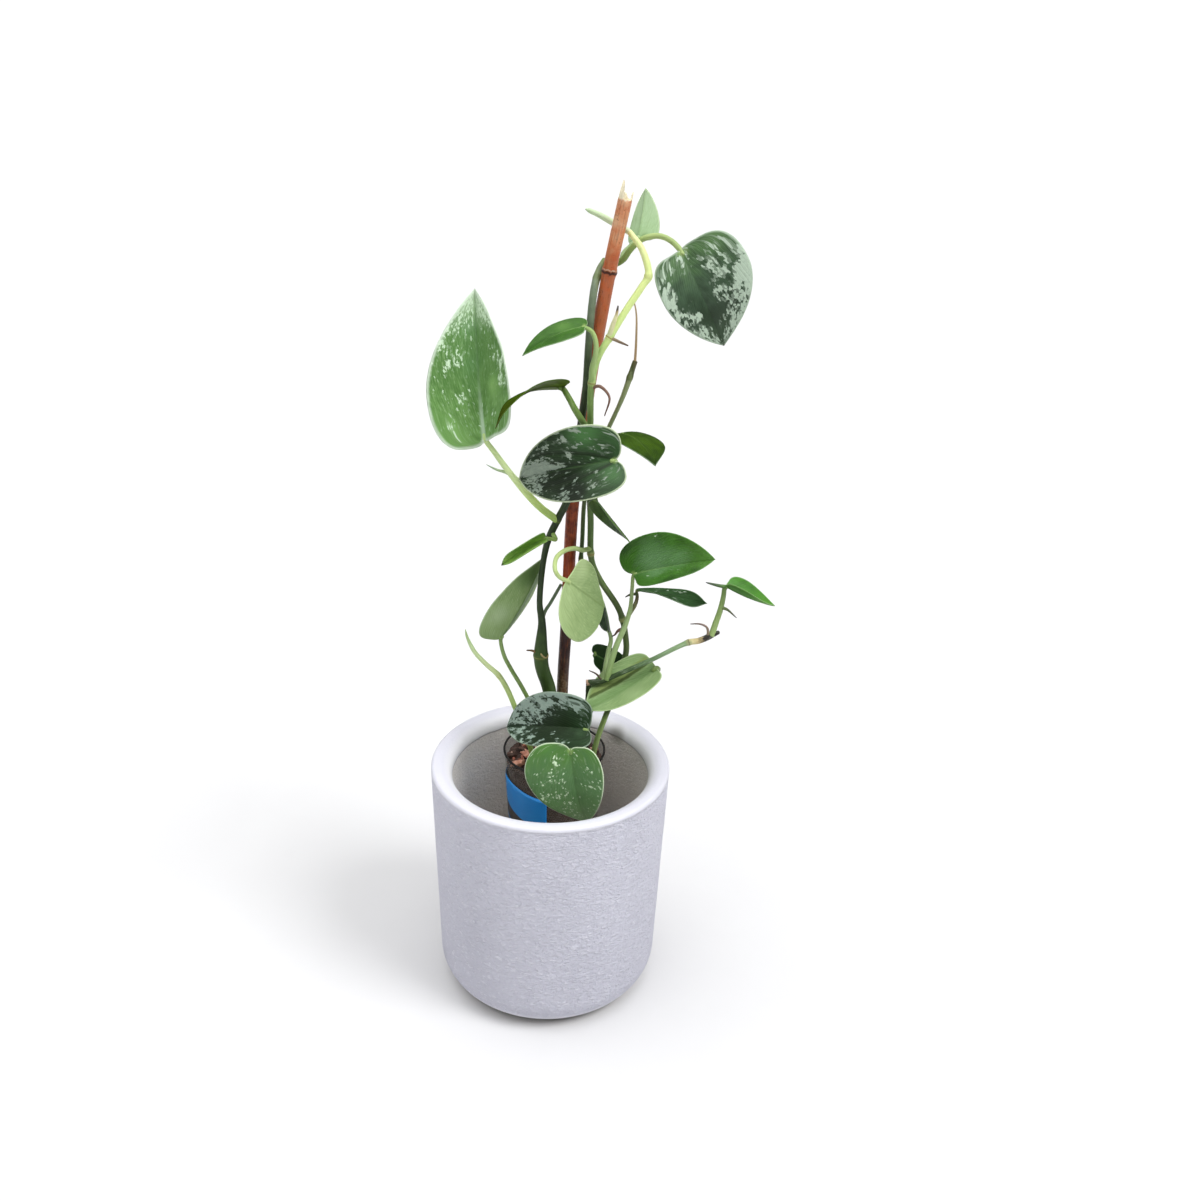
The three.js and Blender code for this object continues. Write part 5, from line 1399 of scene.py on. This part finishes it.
def make_mix():
    """The body of the mix, lumpy where it shows through the pot and on top."""
    low = POT["bottom_z"] + 1.5
    side = [(pot_radius(z) - POT["wall"] - 0.4, z) for z in np.linspace(low, MIX_TOP, 40)]
    top_radius = side[-1][0]
    top = [(top_radius * share, MIX_TOP + 2 * (1 - share)) for share in np.linspace(0.95, 0, 20)]
    points, faces = lathe([(0, low)] + side + top, 120, POT["x"], POT["y"])
    centre = np.array([POT["x"], POT["y"], 0.0])
    for p in points:
        lump = noise.voronoi(Vector(p / 7.0))[0][0]
        fine = noise.noise(Vector(p / 2.5))
        out = (p - centre) * [1, 1, 0]
        reach = np.linalg.norm(out)
        if p[2] < MIX_TOP - 0.1 and reach > 1:
            p -= unit(out) * (0.2 + 2.2 * lump + 0.3 * fine)
        elif reach > 0.1:
            p += UP * (1.0 - 4.5 * lump + 0.6 * fine)
    tones = [(0.5 + 0.5 * noise.noise(Vector(p / 6.0)), 0.0) for p in points]
    piece = make_piece("mix_body", points, faces, [mix_material("mix", MIX_TONES)], {"lump": tones})
    seat(piece, "potting_mix", "potting_mix")


def lump_mesh(rng, centre, half, turn):
    """A flat-sided lump of bark: a ball pushed in by random planes and roughened."""
    ball = bmesh.new()
    bmesh.ops.create_icosphere(ball, subdivisions=3, radius=1.0)
    points = np.array([v.co for v in ball.verts])
    faces = [tuple(v.index for v in f.verts) for f in ball.faces]
    ball.free()
    for _ in range(7):
        normal = unit(np.array([rng.uniform(-1, 1) for _ in range(3)]))
        depth = rng.uniform(0.55, 0.8)
        over = np.maximum(0, points @ normal - depth)
        points = points - normal * over[:, None] * 0.9
    shift = Vector([rng.uniform(0, 50) for _ in range(3)])
    bumps = np.array([noise.noise(Vector(p) * 2.4 + shift) for p in points])
    x, y, z = (points * (1 + 0.35 * bumps[:, None]) * half).T
    c, s = math.cos(turn), math.sin(turn)
    return np.stack([x * c - y * s, x * s + y * c, z], -1) + centre, faces


def make_lumps(name, lumps, material, slot, *nodes):
    """One piece from many lumps, given as (points, faces, tone)."""
    points = []
    faces = []
    tones = []
    for lump_points, lump_faces, tone in lumps:
        start = len(points)
        points += list(lump_points)
        faces += [tuple(start + i for i in face) for face in lump_faces]
        tones += [(tone, 0.0)] * len(lump_points)
    seat(make_piece(name, points, faces, [material], {"lump": tones}), slot, *nodes)


# half: half the length, width and height of a chip. turn: in degrees.
BARK_CHIPS = [
    dict(half=(7, 4, 2.5), turn=40, tone=0.75),
    dict(half=(6, 5, 2.2), turn=-20, tone=0.5),
    dict(half=(7, 4.5, 2.2), turn=10, tone=0.65),
]
CRUMBS = dict(count=110, spread=38, clear=5.5, smallest=1.6, largest=4.4, bark_share=0.35)
# Where the stems and the reed come out of the mix. The crumbs leave them clear.
STEM_FEET = [
    (4, 18), (28, 41), (9, 36), (-14, 11), (29, 27), (37, 21), (27, 19), (18, 12), (8, 25), (-7, 15),
]


def make_bark():
    bark = mix_material("bark", BARK_TONES)
    rng = random.Random(4)
    for i, chip in enumerate(BARK_CHIPS, 1):
        low, high = (np.array(corner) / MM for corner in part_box(f"bark_chip_{i}"))
        centre = (low + high) / 2
        points, faces = lump_mesh(rng, centre, np.array(chip["half"]) * 1.1, math.radians(chip["turn"]))
        make_lumps(f"bark_{i}", [(points, faces, chip["tone"])], bark, "bark", f"bark_chip_{i}")
    crumbs = []
    chips = []
    while len(crumbs) + len(chips) < CRUMBS["count"]:
        out = CRUMBS["spread"] * math.sqrt(rng.random())
        angle = rng.uniform(0, 2 * math.pi)
        x, y = POT["x"] + out * math.cos(angle), POT["y"] + out * math.sin(angle)
        if min(math.hypot(x - fx, y - fy) for fx, fy in STEM_FEET) < CRUMBS["clear"]:
            continue
        size = rng.uniform(CRUMBS["smallest"], CRUMBS["largest"])
        half = np.array([size, size * rng.uniform(0.3, 0.6), size * rng.uniform(0.35, 0.7)])
        centre = np.array([x, y, MIX_TOP + 1.2 + rng.uniform(0, 1.2)])
        points, faces = lump_mesh(rng, centre, half, rng.uniform(0, math.pi))
        kind = chips if rng.random() < CRUMBS["bark_share"] else crumbs
        kind.append((points, faces, rng.random()))
    make_lumps("mix_crumbs", crumbs, mix_material("mix_crumb", MIX_TONES), "potting_mix")
    make_lumps("bark_crumbs", chips, bark, "bark")


# start and end: degrees round the pot. slant: how much lower the upper edge ends than it starts.
# The gap is a dark stripe that falls by gap_slope mm a degree.
LABEL = dict(
    low_z=141, high_z=182, start=150, end=262, off_pot=0.35, thick=0.35, slant=1.0, bulge=5.0,
    gap_slope=0.18, gap_at=188.5, gap_half=7.0,
)


def label_material():
    """Plain blue film with a darker slanted gap across it, and nothing printed on it."""
    s = Shader("label_film")
    degrees, height = s.uv("turned")
    sheen = s.noise(s.place(), 12, 3)
    blue = s.mix(sheen, "#0c7ecf", "#218cd8")
    blue = s.mix(s.step(degrees, 165, 200, 0.45, 0), blue, "#3f7aa8")
    from_gap = abs(height + degrees * LABEL["gap_slope"] - LABEL["gap_at"])
    gap = s.step(from_gap, LABEL["gap_half"] - 0.4, LABEL["gap_half"] + 0.4, 1, 0)
    colour = s.mix(gap, blue, "#3a3632")
    wrinkles = s.noise(s.join(degrees * 0.6, height * 0.3), 6, 2)
    return s.finish(colour, s.step(sheen, 0, 1, 0.3, 0.5), s.bump(wrinkles, 0.3, 0.4))


def make_label():
    p = LABEL
    rows, columns = 13, 57
    outer = []
    inner = []
    layer = []
    for row in range(rows):
        for column in range(columns):
            share = column / (columns - 1)
            degree = p["start"] + (p["end"] - p["start"]) * share
            high = p["high_z"] - p["slant"] * share + p["bulge"] * math.sin(math.pi * share) ** 2
            z = p["low_z"] + (high - p["low_z"]) * row / (rows - 1)
            edge = row in (0, rows - 1) or column in (0, columns - 1)
            out = pot_radius(z) + p["off_pot"]
            angle = math.radians(degree)
            for radius, points in ((out + (0 if edge else p["thick"]), outer), (out, inner)):
                x = POT["x"] + radius * math.cos(angle)
                points.append((x, POT["y"] + radius * math.sin(angle), z))
            layer.append((degree, z))
    faces = grid_faces(rows, columns) + grid_faces(rows, columns, rows * columns)
    piece = make_piece("label", outer + inner, faces, [label_material()], {"turned": layer * 2})
    seat(piece, "label_film", "nursery_label")


# ---------------------------------------------------------------- floor, light and camera


FLOOR = dict(half=6000, z=-0.4)
# power: how fast the sky brightens upwards. seen: how bright the camera sees it.
SKY = dict(horizon=0.05, zenith=2.3, power=4.0, seen=1.1)
# Name, strength, width in degrees, and the direction towards it.
SUNS = [("key", 1.85, 24, (0.56, -0.32, 0.76)), ("fill", 1.1, 80, (-0.45, -0.2, 0.87))]
# As solved from the photograph. The lens is as long as the frame is wide.
CAMERA = dict(
    at=(0, -862.11, 757.31), right=(0.99911, -0.02821, 0.03149), up=(-0.01681, 0.41843, 0.90809),
    lens=36, frame_width=36, furthest=50000,
)


def make_floor():
    s = Shader("floor")
    material = s.finish(s.mix(s.noise(s.place(), 40, 2), "#d8d8d9", "#d6d6d7"), 0.9)
    half = FLOOR["half"]
    corners = [(x * half, y * half, FLOOR["z"]) for x, y in ((-1, -1), (1, -1), (1, 1), (-1, 1))]
    floor = make_piece("floor", corners, [(0, 1, 2, 3)], [material])


def make_light():
    """A soft overhead sky that is dimmer near the horizon, a soft key and a very soft fill."""
    s = Shader("studio", bpy.data.worlds)
    bpy.context.scene.world = s.owner
    up = s.part(s.add("TexCoord", {}, output="Generated"), 2)
    power = s.add("Math", {0: up, 1: SKY["power"]}, operation="POWER", use_clamp=True)
    sky = s.add("MapRange", {0: power, 3: SKY["horizon"], 4: SKY["zenith"]})
    seen = s.add("LightPath", {}, output="Is Camera Ray")
    strength = s.add("Mix", {0: seen, 2: sky, 3: SKY["seen"]})
    background = s.add("Background", {0: "#ffffff", 1: strength})
    s.add("OutputWorld", {0: background})

    for name, energy, degrees, towards in SUNS:
        sun = bpy.data.objects.new(name, bpy.data.lights.new(name, "SUN"))
        bpy.context.scene.collection.objects.link(sun)
        sun.data.energy = energy
        sun.data.angle = math.radians(degrees)
        sun.rotation_mode = "QUATERNION"
        sun.rotation_quaternion = Vector(towards).to_track_quat("Z", "Y")


def make_camera():
    camera = bpy.data.objects.new("camera", bpy.data.cameras.new("camera"))
    bpy.context.scene.collection.objects.link(camera)
    camera.data.lens = CAMERA["lens"]
    camera.data.sensor_width = CAMERA["frame_width"]
    camera.data.clip_end = CAMERA["furthest"] * MM
    right = Vector(CAMERA["right"])
    up = Vector(CAMERA["up"])
    turn = Matrix((right, up, right.cross(up))).transposed()
    camera.matrix_world = Matrix.Translation(Vector(CAMERA["at"]) * MM) @ turn.to_4x4()
    bpy.context.scene.camera = camera


make_planter()
make_riser()
make_nursery_pot()
make_label()
make_mix()
make_bark()
make_reed()
make_stems()
make_stalks()
make_shoots()
for number, (leaf_name, leaf_shape) in enumerate(LEAVES.items(), 1):
    make_leaf(leaf_name, leaf_shape, dict(LOOKS[leaf_name], seed=number))
make_floor()
make_light()
make_camera()
bpy.context.scene.view_settings.view_transform = "Standard"
